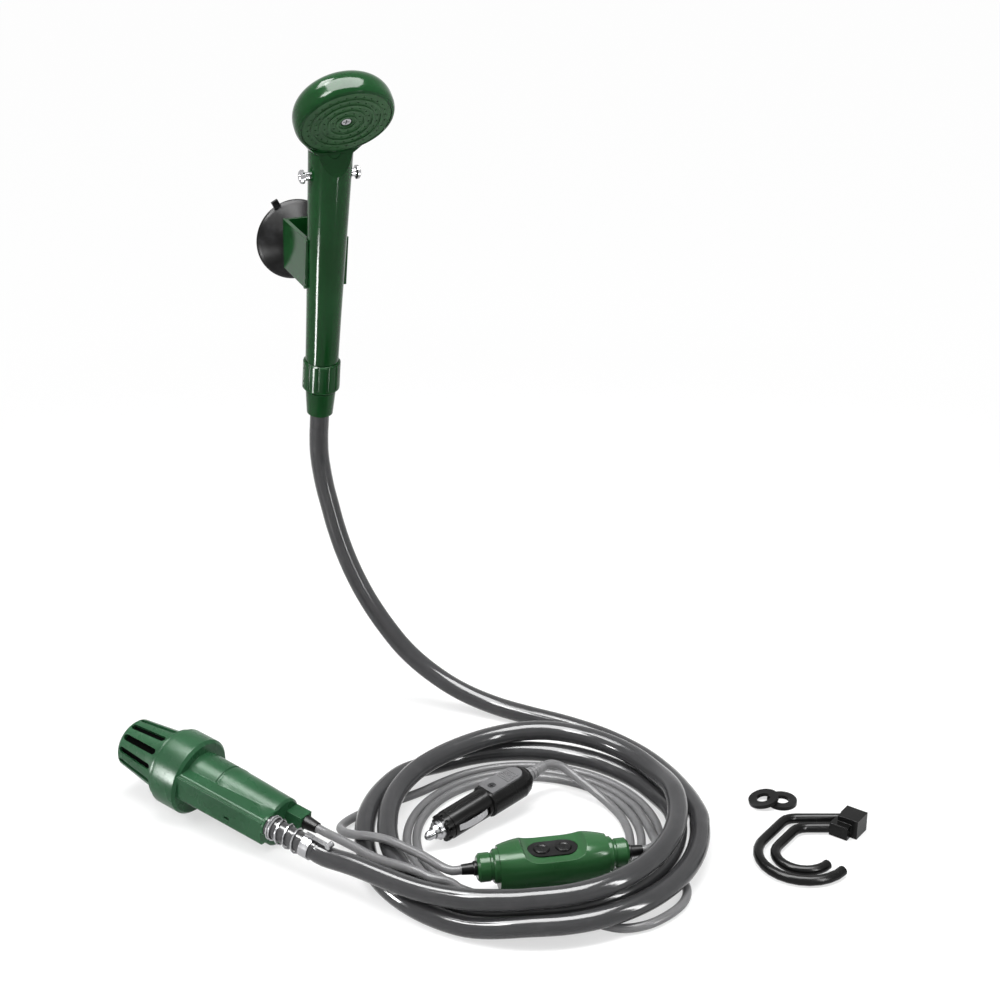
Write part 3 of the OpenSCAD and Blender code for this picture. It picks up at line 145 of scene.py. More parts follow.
def ring_frames(line):
    """Each point of a line, two directions across it, and the way travelled."""
    side = (line[1] - line[0]).orthogonal().normalized()
    frames, travelled = [], 0.0
    for i, point in enumerate(line):
        ahead = (line[min(i + 1, len(line) - 1)] - line[max(i - 1, 0)]).normalized()
        side = (side - side.dot(ahead) * ahead).normalized()
        travelled += (point - line[i - 1]).length if i else 0.0
        frames.append((point, side, ahead.cross(side), travelled))
    return frames


print("travelled on a straight metre:", round(ring_frames(corner[:2])[-1][3], 3), "m")

# %% A swept tube


def sweep(name, frames, radius, sides=24):
    """A capped round tube on a line's frames, with its length and turn as a UV map."""
    mesh = bmesh.new()
    uv = mesh.loops.layers.uv.new("along")
    angles = [2 * math.pi * k / sides for k in range(sides)]
    rings = [
        [mesh.verts.new(point + radius * (math.cos(a) * side + math.sin(a) * across))
         for a in angles]
        for point, side, across, _ in frames]
    for i in range(len(rings) - 1):
        for k in range(sides):
            n = (k + 1) % sides
            face = mesh.faces.new((rings[i][k], rings[i][n], rings[i + 1][n], rings[i + 1][k]))
            face.smooth = True
            corners = ((i, k), (i, k + 1), (i + 1, k + 1), (i + 1, k))
            for loop, (row, turn) in zip(face.loops, corners):
                loop[uv].uv = (turn / sides, frames[row][3])
    # The caps have vertices of their own, so the tube's shading stays true up to its ends.
    for end in (rings[0][::-1], rings[-1]):
        mesh.faces.new([mesh.verts.new(v.co) for v in end])
    data = bpy.data.meshes.new(name)
    mesh.to_mesh(data)
    mesh.free()
    piece = bpy.data.objects.new(name, data)
    bpy.context.scene.collection.objects.link(piece)
    print(name, "is", round(frames[-1][3] - frames[0][3], 3), "m long")
    return piece


# %% [markdown]
# ## Routes of the hose
#
# The hose leaves the pump, lies in a flat coil of two layers and rises to the
# handset. The coil is a formula: it spirals in on the floor, climbs, and
# spirals out on top, and lifts a little where the cable passes beneath it. The
# free stretches follow points chosen on the photograph.

# %% The coil as a formula
HOSE_R = 7
CABLE_R = 3
COIL_AT = Vector((18, -46, 0))
COIL_R = 121
COIL_STEP = 2 * HOSE_R + 1.4
COIL_LAYER = 2 * HOSE_R + 0.8
COIL_FROM, COIL_TURN_BACK, COIL_TO = 90, 630, 900
COIL_DEGREES = 5
CLIMB_FROM, CLIMB_TO = 540, 690
COIL_LEAN = 13
LEAN_FROM = CLIMB_TO - 15
LEAN_OVER = 60
LIFT = 2 * CABLE_R + 0.6
LIFTED = ((250, 330), (60, 204), (420, 564), (780, 924))
RUN_UP = 28


def ease(t):
    """0 up to t = 0, 1 from t = 1, and smooth in between."""
    u = min(1, max(0, t))
    return u * u * (3 - 2 * u)


def coil_point(degrees):
    """A point of the coil, which turns clockwise from its back."""
    inward = degrees if degrees < COIL_TURN_BACK else 2 * COIL_TURN_BACK - degrees
    radius = COIL_R - COIL_STEP * inward / 360
    lift = LIFT * max(
        min(ease((degrees - start) / RUN_UP), ease((end - degrees) / RUN_UP))
        for start, end in LIFTED)
    up = ease((degrees - CLIMB_FROM) / (CLIMB_TO - CLIMB_FROM))
    a = math.radians(degrees)
    lean = COIL_LEAN * ease((degrees - LEAN_FROM) / LEAN_OVER) * (1 + math.cos(a)) / 2
    return COIL_AT + Vector((
        radius * math.sin(a), radius * math.cos(a) + lean,
        HOSE_R + COIL_LAYER * up + lift))


def plan_points(points):
    """Plan points in millimetres, as model points in metres."""
    return [placed(p) for p in points]


coil = plan_points([coil_point(a) for a in range(COIL_FROM, COIL_TO + 1, COIL_DEGREES)])
print("hose coil:", round(line_length(coil), 3), "m")

# %% Where the hose ends


def joint(name):
    """A joint of the frame, by its name."""
    return next(j for j in frame["joints"] if j["name"] == name)


def end_of(node, direction, depth=0.05):
    """The middle of a node's end face, the furthest way along a direction."""
    along = [(v.co.dot(direction), v.co) for v in nodes[node].data.vertices]
    furthest = max(d for d, _ in along)
    face = [co for d, co in along if d > furthest - depth * MM]
    return sum(face, Vector()) / len(face)


pump_axis = Vector(joint("impeller_spin")["axis"])
hand_axis = Vector(joint("handset_lift")["axis"])
hose_from_pump = end_of("hose_tail", pump_axis)
hose_at_handset = end_of("hose_top_stub", -hand_axis)
print("hose runs from", [round(v, 3) for v in hose_from_pump])
print("hose runs to", [round(v, 3) for v in hose_at_handset])

# %% Hose points, in plan millimetres
LEAD = [
    (-95, -104.5, 20.8), (-78, -116.5, 21.4), (-63, -127, 21.8), (-49, -135.5, 22.4),
    (-33, -143, 23.6), (-16, -148.8, 25.4)]
RISER = [
    (-133.7, 168.8, 197), (-132.5, 169.4, 182.5), (-130.3, 169.3, 168), (-127.1, 168.4, 153.5),
    (-123.6, 166.5, 139), (-117.5, 163, 119.7), (-109.6, 159, 100.7), (-99.6, 155, 81.6),
    (-87, 150.5, 62.6), (-71.6, 145.6, 43.8), (-52.6, 140, 28), (-30, 132, 16), (-3, 121.4, 9),
    (26, 108.5, 7), (54, 94, 7), (80, 76, 7), (103, 52, 7.2), (119, 24, 8.6), (129, -4, 11),
    (134, -26, 13)]
print("points on the lead:", len(LEAD), "and on the riser:", len(RISER))

# %% Hose lines
STRAIGHT_OUT = 8
HOSE_SPACING = 4


def beyond(points, distance):
    """A point past the end of a line of points, straight on."""
    return points[-1] + distance * MM * (points[-1] - points[-2]).normalized()


def stretch(end, direction, points, coil_side):
    """A free stretch from a fitting's end face, by listed points, into a coil."""
    start = [end, end + STRAIGHT_OUT * MM * direction]
    return start + plan_points(points) + [beyond(coil_side, STRAIGHT_OUT)]


lead = stretch(hose_from_pump, pump_axis, LEAD, coil)
riser = stretch(hose_at_handset, -hand_axis, RISER, coil[::-1])
floor_line = smooth_line(lead + coil[::-1], HOSE_SPACING * MM)
riser_line = smooth_line(riser + [coil[0]], HOSE_SPACING * MM)
# Between its points a spline can dip a hair below the floor.
for point in riser_line:
    point.z = max(point.z, HOSE_R * MM)
hose_frames = ring_frames(floor_line + riser_line[-2::-1])
split = len(floor_line) - 1
print("hose frames:", len(hose_frames), "of which on the floor:", split + 1)

# %% Hose tubes


def lay_cord(name, line, frames, radius, replaced, slot, **facts):
    """A swept cord that stands for its plain solids, which it hides."""
    piece = sweep(name, frames, radius * MM)
    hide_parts(*replaced)
    line_length(line)
    return piece


hose_on_floor = lay_cord(
    "hose_on_floor", floor_line, hose_frames[:split + 1], HOSE_R,
    ("hose_lead", "hose_coil"), "hose", far_end="object", stiffness="medium", lay="coiled")
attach(hose_on_floor, "base")
hose_to_handset = lay_cord(
    "hose_to_handset", riser_line, hose_frames[split:], HOSE_R,
    ("hose_riser",), "hose", far_end="object", stiffness="medium", lay="hanging")
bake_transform(hose_to_handset)

# %% [markdown]
# ## Routes of the cable
#
# One cable runs from the pump to the switch, and another from the switch to
# the plug. They weave over and under the hose coil, so most points are given
# as a radius and an angle about the coil's middle, and the inner coil of the
# second cable is a plain spiral.

# %% Where the cables end
SWITCH_YAW = math.radians(10.7) - PLAN_TURN
switch_axis = Vector((math.cos(SWITCH_YAW), math.sin(SWITCH_YAW), 0))
plug_axis = Vector(joint("plug_tip_press")["axis"])
gland_end = end_of("gland_sheath", pump_axis)
switch_in = end_of("switch_strain_reliefs", -switch_axis)
switch_out = end_of("switch_strain_reliefs", switch_axis)
plug_in = end_of("plug_strain_relief", plug_axis)
print("pump cable runs from", [round(v, 3) for v in gland_end])
print("plug cable runs to", [round(v, 3) for v in plug_in])

# %% Pump cable points, in plan millimetres
CABLE_Z = CABLE_R + 0.2


def polar(radius, degrees, height):
    """A plan point by its radius and angle about the coil's middle, and its height."""
    a = math.radians(degrees)
    return COIL_AT + Vector((radius * math.cos(a), radius * math.sin(a), height))


OVER_HOSE = [
    (-109.3, -67.6, 17.4), (-98, -77.4, 17.6), (-85, -89, 17.8), (-73, -98.4, 19),
    (-61.5, -106.6, 20.8), (-51, -113.3, 21), (-42.5, -118, 20),
    polar(87.6, -124.5, 17), polar(86.2, -118, 11.4), polar(86.2, -111.5, 6.6),
    polar(86.8, -105, 4)]
UNDER_HOSE = [polar(87, a, CABLE_Z) for a in (-97, -89, -82)] + [
    polar(r, a, CABLE_Z) for r, a in (
        (90, -75), (98, -69), (110, -64), (119, -59), (124, -52), (125.5, -44),
        (125, -37), (121, -31), (113, -26), (103, -23), (95, -18), (91.5, -10))]
ROUND_INSIDE = [polar(91, a, CABLE_Z) for a in range(0, 133, 12)]
LEFT_LOOP = [polar(r, a, CABLE_Z) for r, a in ((92.5, 141), (97, 149), (104, 156), (112, 162))] + [
    polar(*p) for p in (
        (119.5, 167.5, 3.6), (125, 173, 5), (126.5, 178.5, 8), (122, 184.5, 13),
        (115, 189.5, 17.6))]
TO_SWITCH = [
    (-89.8, -70.1, 20.6), (-80, -76.8, 23.4), (-72, -82.4, 24.6), (-62, -90, 24.8),
    (-52.5, -97.5, 24.8), (-44, -105.3, 24.6), (-37, -111.4, 24)]
PUMP_CABLE = OVER_HOSE + UNDER_HOSE + ROUND_INSIDE + LEFT_LOOP + TO_SWITCH
print("points on the pump cable:", len(PUMP_CABLE))

# %% Plug cable points, in plan millimetres
INNER_FROM, INNER_TO = 30, 705
INNER_R = 84
INNER_STEP = 2 * CABLE_R + 0.6
FROM_SWITCH = [
    (97.6, -88.8, 22.9), (100.3, -86.4, 22.6), (102.2, -83.4, 22), (103.4, -79.6, 21),
    (104, -73.5, 18), (104, -66, 14), (103.6, -56, 9.4), (103, -46, 6), (101.6, -35, 4.1),
    (98.8, -23.5, 3.3)]
INNER_COIL = [
    polar(INNER_R - INNER_STEP * (a - INNER_FROM) / 360, a, CABLE_Z)
    for a in range(INNER_FROM, INNER_TO + 1, COIL_DEGREES)]
TO_PLUG = [
    (88.2, -52, CABLE_Z), (87.6, -38, CABLE_Z), (84, -22, CABLE_Z), (78, -9.5, 3.8),
    (71.5, -1, 5.6), (64.7, 5.4, 8.4), (56.5, 11.2, 12.2), (48.3, 16.9, 16.6),
    (45.2, 18.4, 18.2), (40.8, 19.2, 20), (36.4, 18.4, 21.5)]
print("points on the plug cable:", len(FROM_SWITCH + INNER_COIL + TO_PLUG))

# %% Cable lines
CABLE_SPACING = 3
INTO_SWITCH = 6
INTO_COIL = 6
PAST_COIL = 2
AT_RELIEF = 2
inner_coil = plan_points(INNER_COIL)
pump_cable_line = smooth_line(
    [gland_end, gland_end + STRAIGHT_OUT * MM * pump_axis]
    + plan_points(PUMP_CABLE)
    + [switch_in - INTO_SWITCH * MM * switch_axis, switch_in], CABLE_SPACING * MM)
plug_cable_line = smooth_line(
    [switch_out, switch_out + AT_RELIEF * MM * switch_axis] + plan_points(FROM_SWITCH)
    + [beyond(inner_coil[::-1], INTO_COIL)] + inner_coil + [beyond(inner_coil, PAST_COIL)]
    + plan_points(TO_PLUG) + [plug_in + AT_RELIEF * MM * plug_axis, plug_in],
    CABLE_SPACING * MM)
print("cable points:", len(pump_cable_line), "and", len(plug_cable_line))

# %% Cable tubes
switch_nodes = [n for n in nodes if n.startswith(("switch_", "button_", "tact_"))]
plug_nodes = [
    n for n in nodes
    if n.startswith(("plug_", "contact_", "tip_")) and not n.startswith("plug_cable")]
pump_cable = lay_cord(
    "pump_cable_run", pump_cable_line, ring_frames(pump_cable_line), CABLE_R,
    ("pump_cable",), "cable",
    far_end="fitting", stiffness="limp", lay="coiled",
    with_pieces=[nodes[n] for n in switch_nodes])
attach(pump_cable, "base")
plug_cable = lay_cord(
    "plug_cable_run", plug_cable_line, ring_frames(plug_cable_line), CABLE_R,
    ("plug_cable_lead", "plug_cable_coil", "plug_cable_tail"), "cable",
    far_end="plug", stiffness="limp", lay="coiled",
    with_pieces=[nodes[n] for n in plug_nodes])
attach(plug_cable, "base")

# %% [markdown]
# ## Shader arithmetic
#
# A finish is a small sum of patterns. Wiring Math nodes by hand hides that sum,
# so one class wraps a node's output and lets Python's operators add the nodes.
# Every other node comes from its `add` method.

# %% Sockets that do arithmetic


class Shade:
    """A shader output that takes part in Python expressions."""

    def __init__(self, tree, socket=None):
        self.tree = tree
        self.socket = socket

    def add(self, kind, settings=None, inputs=None, out=0):
        """A new node: its settings first, then the values or links of its sockets."""
        node = self.tree.nodes.new(kind)
        for key, value in (settings or {}).items():
            setattr(node, key, value)
        for key, value in (inputs or {}).items():
            if isinstance(value, Shade):
                self.tree.links.new(value.socket, node.inputs[key])
            else:
                node.inputs[key].default_value = value
        return Shade(self.tree, node.outputs[out])

    def math(self, operation, a, b=0.0):
        """A Math node on two values or outputs."""
        return self.add("ShaderNodeMath", {"operation": operation}, {0: a, 1: b})

    def __add__(self, other):
        return self.math("ADD", self, other)

    __radd__ = __add__

    def __sub__(self, other):
        return self.math("SUBTRACT", self, other)

    def __rsub__(self, other):
        return self.math("SUBTRACT", other, self)

    def __mul__(self, other):
        return self.math("MULTIPLY", self, other)

    __rmul__ = __mul__

    def between(self, low, high):
        """0 below low, 1 above high, smooth in between."""
        return self.add(
            "ShaderNodeMapRange", {"interpolation_type": "SMOOTHSTEP"},
            {"Value": self, "From Min": low, "From Max": high})


# %% A material from its surface


def finish(name, build):
    """A material whose surface is what `build` returns."""
    material = bpy.data.materials.new(name)
    material.use_nodes = True
    tree = material.node_tree
    tree.nodes.clear()
    surface = build(Shade(tree))
    output = tree.nodes.new("ShaderNodeOutputMaterial")
    tree.links.new(surface.socket, output.inputs["Surface"])
    print("finish", name, "has", len(tree.nodes), "nodes")
    return material


# %% [markdown]
# ## Moulded plastic
#
# Nearly everything hard here is injection-moulded. Such a surface is never one
# flat colour: the pigment flows a little unevenly, handling dulls the gloss in
# soft patches and leaves hairline scuffs, and the mould gives a faint skin. The
# patterns are sized in the object's own metres, so a switch and a handle share
# the same grain. The white floor would grey such dark pigments by reflection, so
# one low specular level, SHEEN, serves them all.

# %% Patterns that every finish shares
SCUFF_TURN = (0.4, 0.3, 0.9)
SCUFF_STRETCH = (1.0, 0.22, 0.22)
# A Mix node has one result for each type of data, and this is the colour's place.
MIXED_COLOUR = 2


def noise(shade, scale, detail=3.0, rough=0.5, where=None):
    """A soft pattern of `scale` waves to the unit, in the object's metres unless told where."""
    place = where or shade.add("ShaderNodeTexCoord", out="Object")
    return shade.add(
        "ShaderNodeTexNoise", {},
        {"Vector": place, "Scale": scale, "Detail": detail, "Roughness": rough}, out="Fac")


def scuffs(shade, scale, width):
    """Hairline marks: the thin level lines of a stretched noise."""
    place = shade.add(
        "ShaderNodeMapping", {},
        {"Vector": shade.add("ShaderNodeTexCoord", out="Object"),
         "Rotation": SCUFF_TURN, "Scale": SCUFF_STRETCH})
    lines = noise(shade, scale, 2.0, 0.6, place)
    distance = shade.math("ABSOLUTE", lines - 0.5)
    return 1 - distance.between(0.0, width)


def tint(shade, dark, light, amount):
    """A colour between two, mixed by a value."""
    return shade.add(
        "ShaderNodeMix", {"data_type": "RGBA"},
        {"Factor": amount, "A": (*dark, 1), "B": (*light, 1)}, out=MIXED_COLOUR)


# %% Plastic
SHEEN = 0.1
BEVEL_SAMPLES = 6
FLOW, PATCHES, SCUFFS, WORN, GRAIN = 26, 60, 190, 45, 900
SCUFF_WIDTH = 0.012
SKIN_DEPTH = 0.12


def bump(shade, height, strength, depth, edge=0.0):
    """Relief of a depth in millimetres, on edges softened by a radius in millimetres."""
    links = {"Height": height, "Strength": strength, "Distance": depth * MM}
    if edge:
        links["Normal"] = shade.add(
            "ShaderNodeBevel", {"samples": BEVEL_SAMPLES}, {"Radius": edge * MM})
    return shade.add("ShaderNodeBump", {}, links)


def plastic(dark, light, rough, skin, coat, edge=0.5):
    """A moulded plastic from its two pigment tones, gloss and skin."""

    def build(shade):
        flow = noise(shade, FLOW, 4.0).between(0.3, 0.7)
        patches = noise(shade, PATCHES, 3.0).between(0.35, 0.75)
        marks = scuffs(shade, SCUFFS, SCUFF_WIDTH) * noise(shade, WORN).between(0.5, 0.68)
        grain = noise(shade, GRAIN, 2.0)
        return shade.add("ShaderNodeBsdfPrincipled", {}, {
            "Base Color": tint(shade, dark, light, flow),
            "Roughness": rough + 0.07 * patches + 0.16 * marks,
            "Specular IOR Level": SHEEN, "Coat Weight": coat, "Coat Roughness": 0.08,
            "Normal": bump(shade, grain + 0.4 * patches, skin, SKIN_DEPTH, edge)})

    return build


# %% Green plastics
gloss_green = finish("gloss_green", plastic(
    (0.003, 0.030, 0.006), (0.005, 0.041, 0.010), 0.1, 0.03, 0.05))
satin_green = finish("satin_green", plastic(
    (0.013, 0.056, 0.023), (0.019, 0.074, 0.032), 0.26, 0.16, 0.0))
switch_green = finish("switch_green", plastic(
    (0.016, 0.066, 0.021), (0.023, 0.086, 0.030), 0.2, 0.08, 0.05))
plate_green = finish("plate_green", plastic(
    (0.013, 0.047, 0.016), (0.021, 0.066, 0.024), 0.3, 0.12, 0.0))

# %% Black and grey plastics
black_plastic = finish("black_plastic", plastic(
    (0.003, 0.003, 0.003), (0.007, 0.007, 0.007), 0.2, 0.12, 0.0))
grey_plastic = finish("grey_plastic", plastic(
    (0.09, 0.09, 0.093), (0.13, 0.13, 0.134), 0.38, 0.3, 0.0))
board_green = finish("board_green", plastic(
    (0.02, 0.08, 0.035), (0.03, 0.11, 0.05), 0.35, 0.2, 0.2))

# %% [markdown]
# ## Rubber
#
# The suction cup, washers, seals, cable sleeves and the pad of the switch are
# soft and black. Rubber is duller than plastic, and a dry bloom greys it in
# patches.

# %% Rubber
BLOOM, RUBBER_GRAIN = 70, 1500


def rubber(shade):
    """A dull black with a greyer bloom."""
    bloom = noise(shade, BLOOM, 5.0, 0.6).between(0.45, 0.8)
    grain = noise(shade, RUBBER_GRAIN, 2.0)
    return shade.add("ShaderNodeBsdfPrincipled", {}, {
        "Base Color": tint(shade, (0.004, 0.004, 0.004), (0.014, 0.014, 0.015), bloom),
        "Roughness": 0.3 + 0.16 * bloom, "Specular IOR Level": SHEEN,
        "Normal": bump(shade, grain, 0.15, 0.1)})


soft_black = finish("soft_black", rubber)

# %% [markdown]
# ## Gauze
#
# Behind the strainer's slots sits a fine sleeve that keeps sand out. Modelling
# each thread would cost more than the shadow inside shows, so a small cell
# pattern stands for the mesh, with no gloss at all. The holes are painted darker
# than the threads, and the whole sleeve is near black, as painted shade in the
# deep slots.

# %% Gauze
GAUZE_CELLS = 1400.0


def gauze_painted_shade(shade):
    """Fine gauze: dark threads with darker holes; the holes' darkness and the near-black tones are painted shade.
    """
    # Painted shade: each hole is darker than the threads, and both tones sit near black for the depth of the
    # slots.
    threads_and_painted_shade = shade.add("ShaderNodeTexVoronoi", {}, {
        "Vector": shade.add("ShaderNodeTexCoord", out="Object"), "Scale": GAUZE_CELLS})
    return shade.add("ShaderNodeBsdfPrincipled", {}, {
        "Base Color": tint(shade, (0.0005, 0.0005, 0.0005), (0.004, 0.0045, 0.004), threads_and_painted_shade),
        "Roughness": 0.85 + 0.1 * threads_and_painted_shade, "Specular IOR Level": 0.0})


# This finish carries painted shade of the strainer's slots.
gauze = finish("gauze", gauze_painted_shade)

# %% [markdown]
# ## Hose and cable
#
# Both are extruded: pulled from a die as one long tube. That leaves fine lines
# along the length, which the tubes' own map can follow, and a gloss that waves
# slowly as the speed of the pull changes.

# %% Extruded skins
LINES, LINE_STRETCH, PULL, DUST = 16, 1.5, 22, 120


def extruded(dark, light, rough, coat):
    """A drawn tube's finish from its two tones, gloss and coat."""

    def build(shade):
        on_tube = shade.add("ShaderNodeUVMap", {"uv_map": "along"})
        turn = 2 * math.pi * shade.add("ShaderNodeSeparateXYZ", {}, {"Vector": on_tube}, out="X")
        along = shade.add("ShaderNodeSeparateXYZ", {}, {"Vector": on_tube}, out="Y")
        circle = shade.add("ShaderNodeCombineXYZ", {}, {
            "X": shade.math("COSINE", turn), "Y": shade.math("SINE", turn),
            "Z": along * LINE_STRETCH})
        lines = noise(shade, LINES, 3.0, 0.6, circle)
        waves = shade.add(
            "ShaderNodeTexNoise", {"noise_dimensions": "1D"},
            {"W": along, "Scale": PULL, "Detail": 2.0}, out="Fac")
        dust = noise(shade, DUST, 4.0).between(0.45, 0.8)
        return shade.add("ShaderNodeBsdfPrincipled", {}, {
            "Base Color": tint(shade, dark, light, 0.55 * lines + 0.35 * waves + 0.2 * dust),
            "Roughness": rough + 0.08 * dust + 0.06 * lines,
            "Specular IOR Level": SHEEN, "Coat Weight": coat, "Coat Roughness": 0.1,
            "Normal": bump(shade, lines, 0.12, 0.15)})

    return build


# %% Hose and cable finishes
HOSE_TONES = (0.025, 0.025, 0.026), (0.048, 0.048, 0.05)
CABLE_TONES = (0.105, 0.105, 0.107), (0.17, 0.17, 0.173)
hose_skin = finish("hose_skin", extruded(*HOSE_TONES, 0.12, 0.28))
cable_skin = finish("cable_skin", extruded(*CABLE_TONES, 0.26, 0.05))
hose_ends = finish("hose_ends", plastic(*HOSE_TONES, 0.14, 0.08, 0.28, 0))
cable_ends = finish("cable_ends", plastic(*CABLE_TONES, 0.32, 0.1, 0.1))
hose_on_floor.data.materials.append(hose_skin)
hose_to_handset.data.materials.append(hose_skin)
pump_cable.data.materials.append(cable_skin)
plug_cable.data.materials.append(cable_skin)

# %% [markdown]
# ## Plated and plain metal
#
# The studs, the spring and clamp on the hose, and the plug's cap, tip and
# contacts are bright plated, and so are the screws, but for a dark one on the
# plug. Plating is a mirror with hairline wear and a faint clouding, so its
# roughness changes most over the surface. The hidden motor, shaft, fuse and tip
# spring are plain steel.

# %% Metals
HAIRLINES, HAIRLINE_WIDTH, CLOUDS = 420, 0.02, 150
CLOUDED = 0.86


def metal(colour, rough, wear):
    """A metal from its colour, gloss and the strength of its hairlines."""

    def build(shade):
        marks = scuffs(shade, HAIRLINES, HAIRLINE_WIDTH)
        cloud = noise(shade, CLOUDS, 3.0).between(0.3, 0.75)
        return shade.add("ShaderNodeBsdfPrincipled", {}, {
            "Base Color": tint(shade, [CLOUDED * c for c in colour], colour, cloud),
            "Metallic": 1.0,
            "Roughness": rough + 0.1 * cloud + wear * marks})

    return build


chrome = finish("chrome", metal((0.36, 0.36, 0.37), 0.14, 0.12))
steel = finish("steel", metal((0.5, 0.5, 0.51), 0.28, 0.15))
dark_screw = finish("dark_screw", metal((0.05, 0.05, 0.052), 0.3, 0.15))

# %% [markdown]
# ## Dressing the solids
#
# Each solid names its material slot, so a table from slot to finish dresses
# them all, and four pieces have a tone of their own. The solids come as
# triangles with hard shading: a small node group welds the seams and shades
# smoothly across shallow edges. The sharp ones get their glint from the plastics'
# own shader, which rounds the normal there as a real moulding's edge does.

# %% Smooth shading by angle
SHALLOW = math.radians(32)
WELD = 0.002


def smoothing_group(angle):
    """Nodes that weld a mesh and shade it smoothly, but for edges over an angle."""
    group = bpy.data.node_groups.new("smooth_shallow_edges", "GeometryNodeTree")
    group.interface.new_socket("Mesh", in_out="INPUT", socket_type="NodeSocketGeometry")
    group.interface.new_socket("Mesh", in_out="OUTPUT", socket_type="NodeSocketGeometry")
    start = group.nodes.new("NodeGroupInput")
    weld = group.nodes.new("GeometryNodeMergeByDistance")
    weld.inputs["Distance"].default_value = WELD * MM
    soft = group.nodes.new("GeometryNodeSetShadeSmooth")
    edges = group.nodes.new("GeometryNodeInputMeshEdgeAngle")
    steep = group.nodes.new("FunctionNodeCompare")
    steep.inputs[1].default_value = angle
    hard = group.nodes.new("GeometryNodeSetShadeSmooth")
    hard.domain = "EDGE"
    hard.inputs["Shade Smooth"].default_value = False
    end = group.nodes.new("NodeGroupOutput")
    link = group.links.new
    link(start.outputs[0], weld.inputs["Geometry"])
    link(weld.outputs[0], soft.inputs["Geometry"])
    link(soft.outputs[0], hard.inputs["Geometry"])
    link(edges.outputs["Unsigned Angle"], steep.inputs[0])
    link(steep.outputs[0], hard.inputs["Selection"])
    link(hard.outputs[0], end.inputs[0])
    return group


smooth_edges = smoothing_group(SHALLOW)
print("smoothing group has", len(smooth_edges.nodes), "nodes")

# %% Finishes on the solids
FINISHES = {
    "gloss_green": gloss_green, "satin_green": satin_green, "soft_black": soft_black,
    "black_plastic": black_plastic, "chrome": chrome, "steel": steel, "hose": hose_ends,
    "cable": cable_ends, "grey_plastic": grey_plastic, "board": board_green,
    "gauze": gauze}
OWN_FINISH = {
    "switch_upper_shell": switch_green, "switch_lower_shell": switch_green,
    "spray_plate": plate_green, "plug_screw": dark_screw}
slot_of = {s["node"]: s["material_slot"] for s in frame["record"]["subparts"]}
for name, solid in nodes.items():
    solid.data.materials.clear()
    solid.data.materials.append(OWN_FINISH.get(name, FINISHES[slot_of[name]]))
    shading = solid.modifiers.new("smooth", "NODES")
    shading.node_group = smooth_edges
print("dressed", len(nodes), "solids")

# %% [markdown]
# ## Light and floor
#
# A catalogue picture has a white sweep and broad soft lamps. The camera looks
# down on the upright handle, so the handle mirrors what stands low: a small card
# near the floor to the left draws the highlight down it. A card overhead puts
# the bright patch on the head's crown and along the hose, and broad lamps fill
# the shadows. Floor and world are white to the camera and in the plated pieces.
# Lamps that fill don't show in reflections, and cards that show there don't fill.

# %% Floor
FLOOR_SIZE = 12
FLOOR_DROP = 0.2
FLOOR_GREY = (0.86, 0.86, 0.86, 1)
WHITE = (1, 1, 1, 1)
GLOW_NEAR, GLOW_GAIN = 0.6, 0.38
GLOW_FROM, GLOW_TO = 0.25, 1.1
bpy.ops.mesh.primitive_plane_add(size=FLOOR_SIZE, location=(0, 0, -FLOOR_DROP * MM))
floor = bpy.context.active_object
floor.name = "floor"


def shown(shade):
    """1 where the background is looked at, straight or in a mirror or through glass."""
    kinds = [
        shade.add("ShaderNodeLightPath", out=kind)
        for kind in ("Is Camera Ray", "Is Glossy Ray", "Is Transmission Ray")]
    return shade.math("MAXIMUM", shade.math("MAXIMUM", kinds[0], kinds[1]), kinds[2])


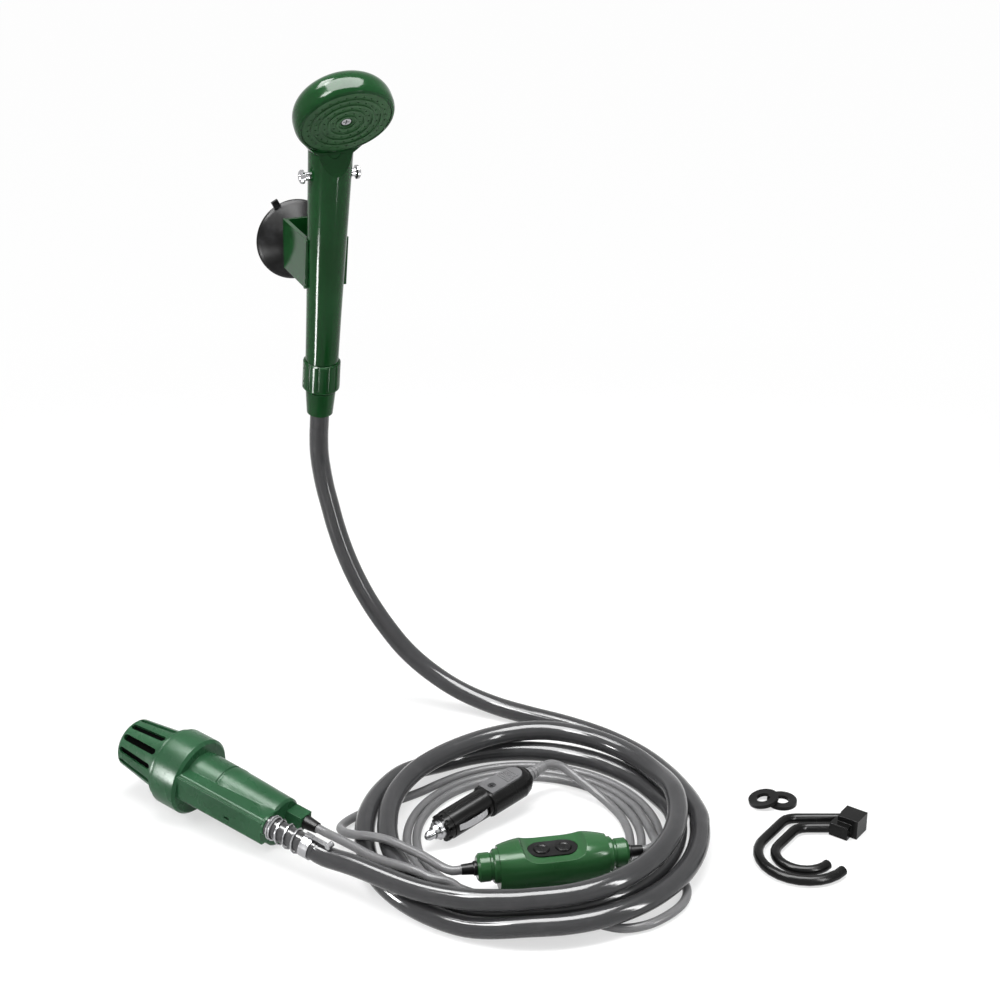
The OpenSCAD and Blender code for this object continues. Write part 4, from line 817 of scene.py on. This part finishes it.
def white_sweep(shade):
    """Grey enough to take a shadow near the part, and white further out."""
    place = shade.add("ShaderNodeTexCoord", out="Object")
    reach = shade.add("ShaderNodeVectorMath", {"operation": "LENGTH"}, {0: place}, out="Value")
    grey = shade.add("ShaderNodeBsdfDiffuse", {}, {"Color": FLOOR_GREY})
    glow = shade.add("ShaderNodeEmission", {}, {"Color": WHITE, "Strength": 1.0})
    share = GLOW_NEAR + GLOW_GAIN * reach.between(GLOW_FROM, GLOW_TO)
    return shade.add("ShaderNodeMixShader", {}, {"Fac": shown(shade) * share, 1: grey, 2: glow})


floor.data.materials.append(finish("white_sweep", white_sweep))

# %% Lamps
LAMPS = (
    ("low_left_card", (-455, -130, 72), (80, 120), 3.2, "mirrored"),
    ("low_right_card", (330, -250, 150), (40, 260), 1.6, "mirrored"),
    ("left_card", (-620, -500, 1150), (360, 360), 24.0, "mirrored"),
    ("top_card", (0, -120, 1500), (1400, 950), 140.0, "mirrored"),
    ("back_card", (-680, 330, 1400), (600, 420), 26.0, "mirrored"),
    ("left_lamp", (-1100, -200, 900), (700, 700), 12.0, "filling"),
    ("front_lamp", (350, -1400, 900), (900, 900), 9.0, "filling"),
    ("right_lamp", (1000, 100, 700), (500, 700), 5.0, "filling"),
    ("top_lamp", (0, -60, 1500), (1300, 420), 26.0, "filling"))
AIM = (-20, 0, 150)
for name, at, (wide, tall), watts, use in LAMPS:
    lamp = bpy.data.lights.new(name, "AREA")
    lamp.shape = "RECTANGLE"
    lamp.size = wide * MM
    lamp.size_y = tall * MM
    lamp.energy = watts
    piece = bpy.data.objects.new(name, lamp)
    piece.visible_glossy = use == "mirrored"
    piece.visible_diffuse = use == "filling"
    piece.visible_camera = False
    piece.location = placed(at)
    piece.rotation_euler = (placed(AIM) - piece.location).to_track_quat("-Z", "Y").to_euler()
    bpy.context.scene.collection.objects.link(piece)
print("lamps:", len(LAMPS))

# %% World
AMBIENT = 0.2
world = bpy.data.worlds.new("studio")
bpy.context.scene.world = world
world.use_nodes = True
world.node_tree.nodes.clear()
sky = Shade(world.node_tree)
glow = AMBIENT + (1 - AMBIENT) * shown(sky)
backdrop = sky.add("ShaderNodeBackground", {}, {"Color": WHITE, "Strength": glow})
output = sky.tree.nodes.new("ShaderNodeOutputWorld")
sky.tree.links.new(backdrop.socket, output.inputs["Surface"])
bpy.context.scene.view_settings.view_transform = "Standard"
print("world and view set")
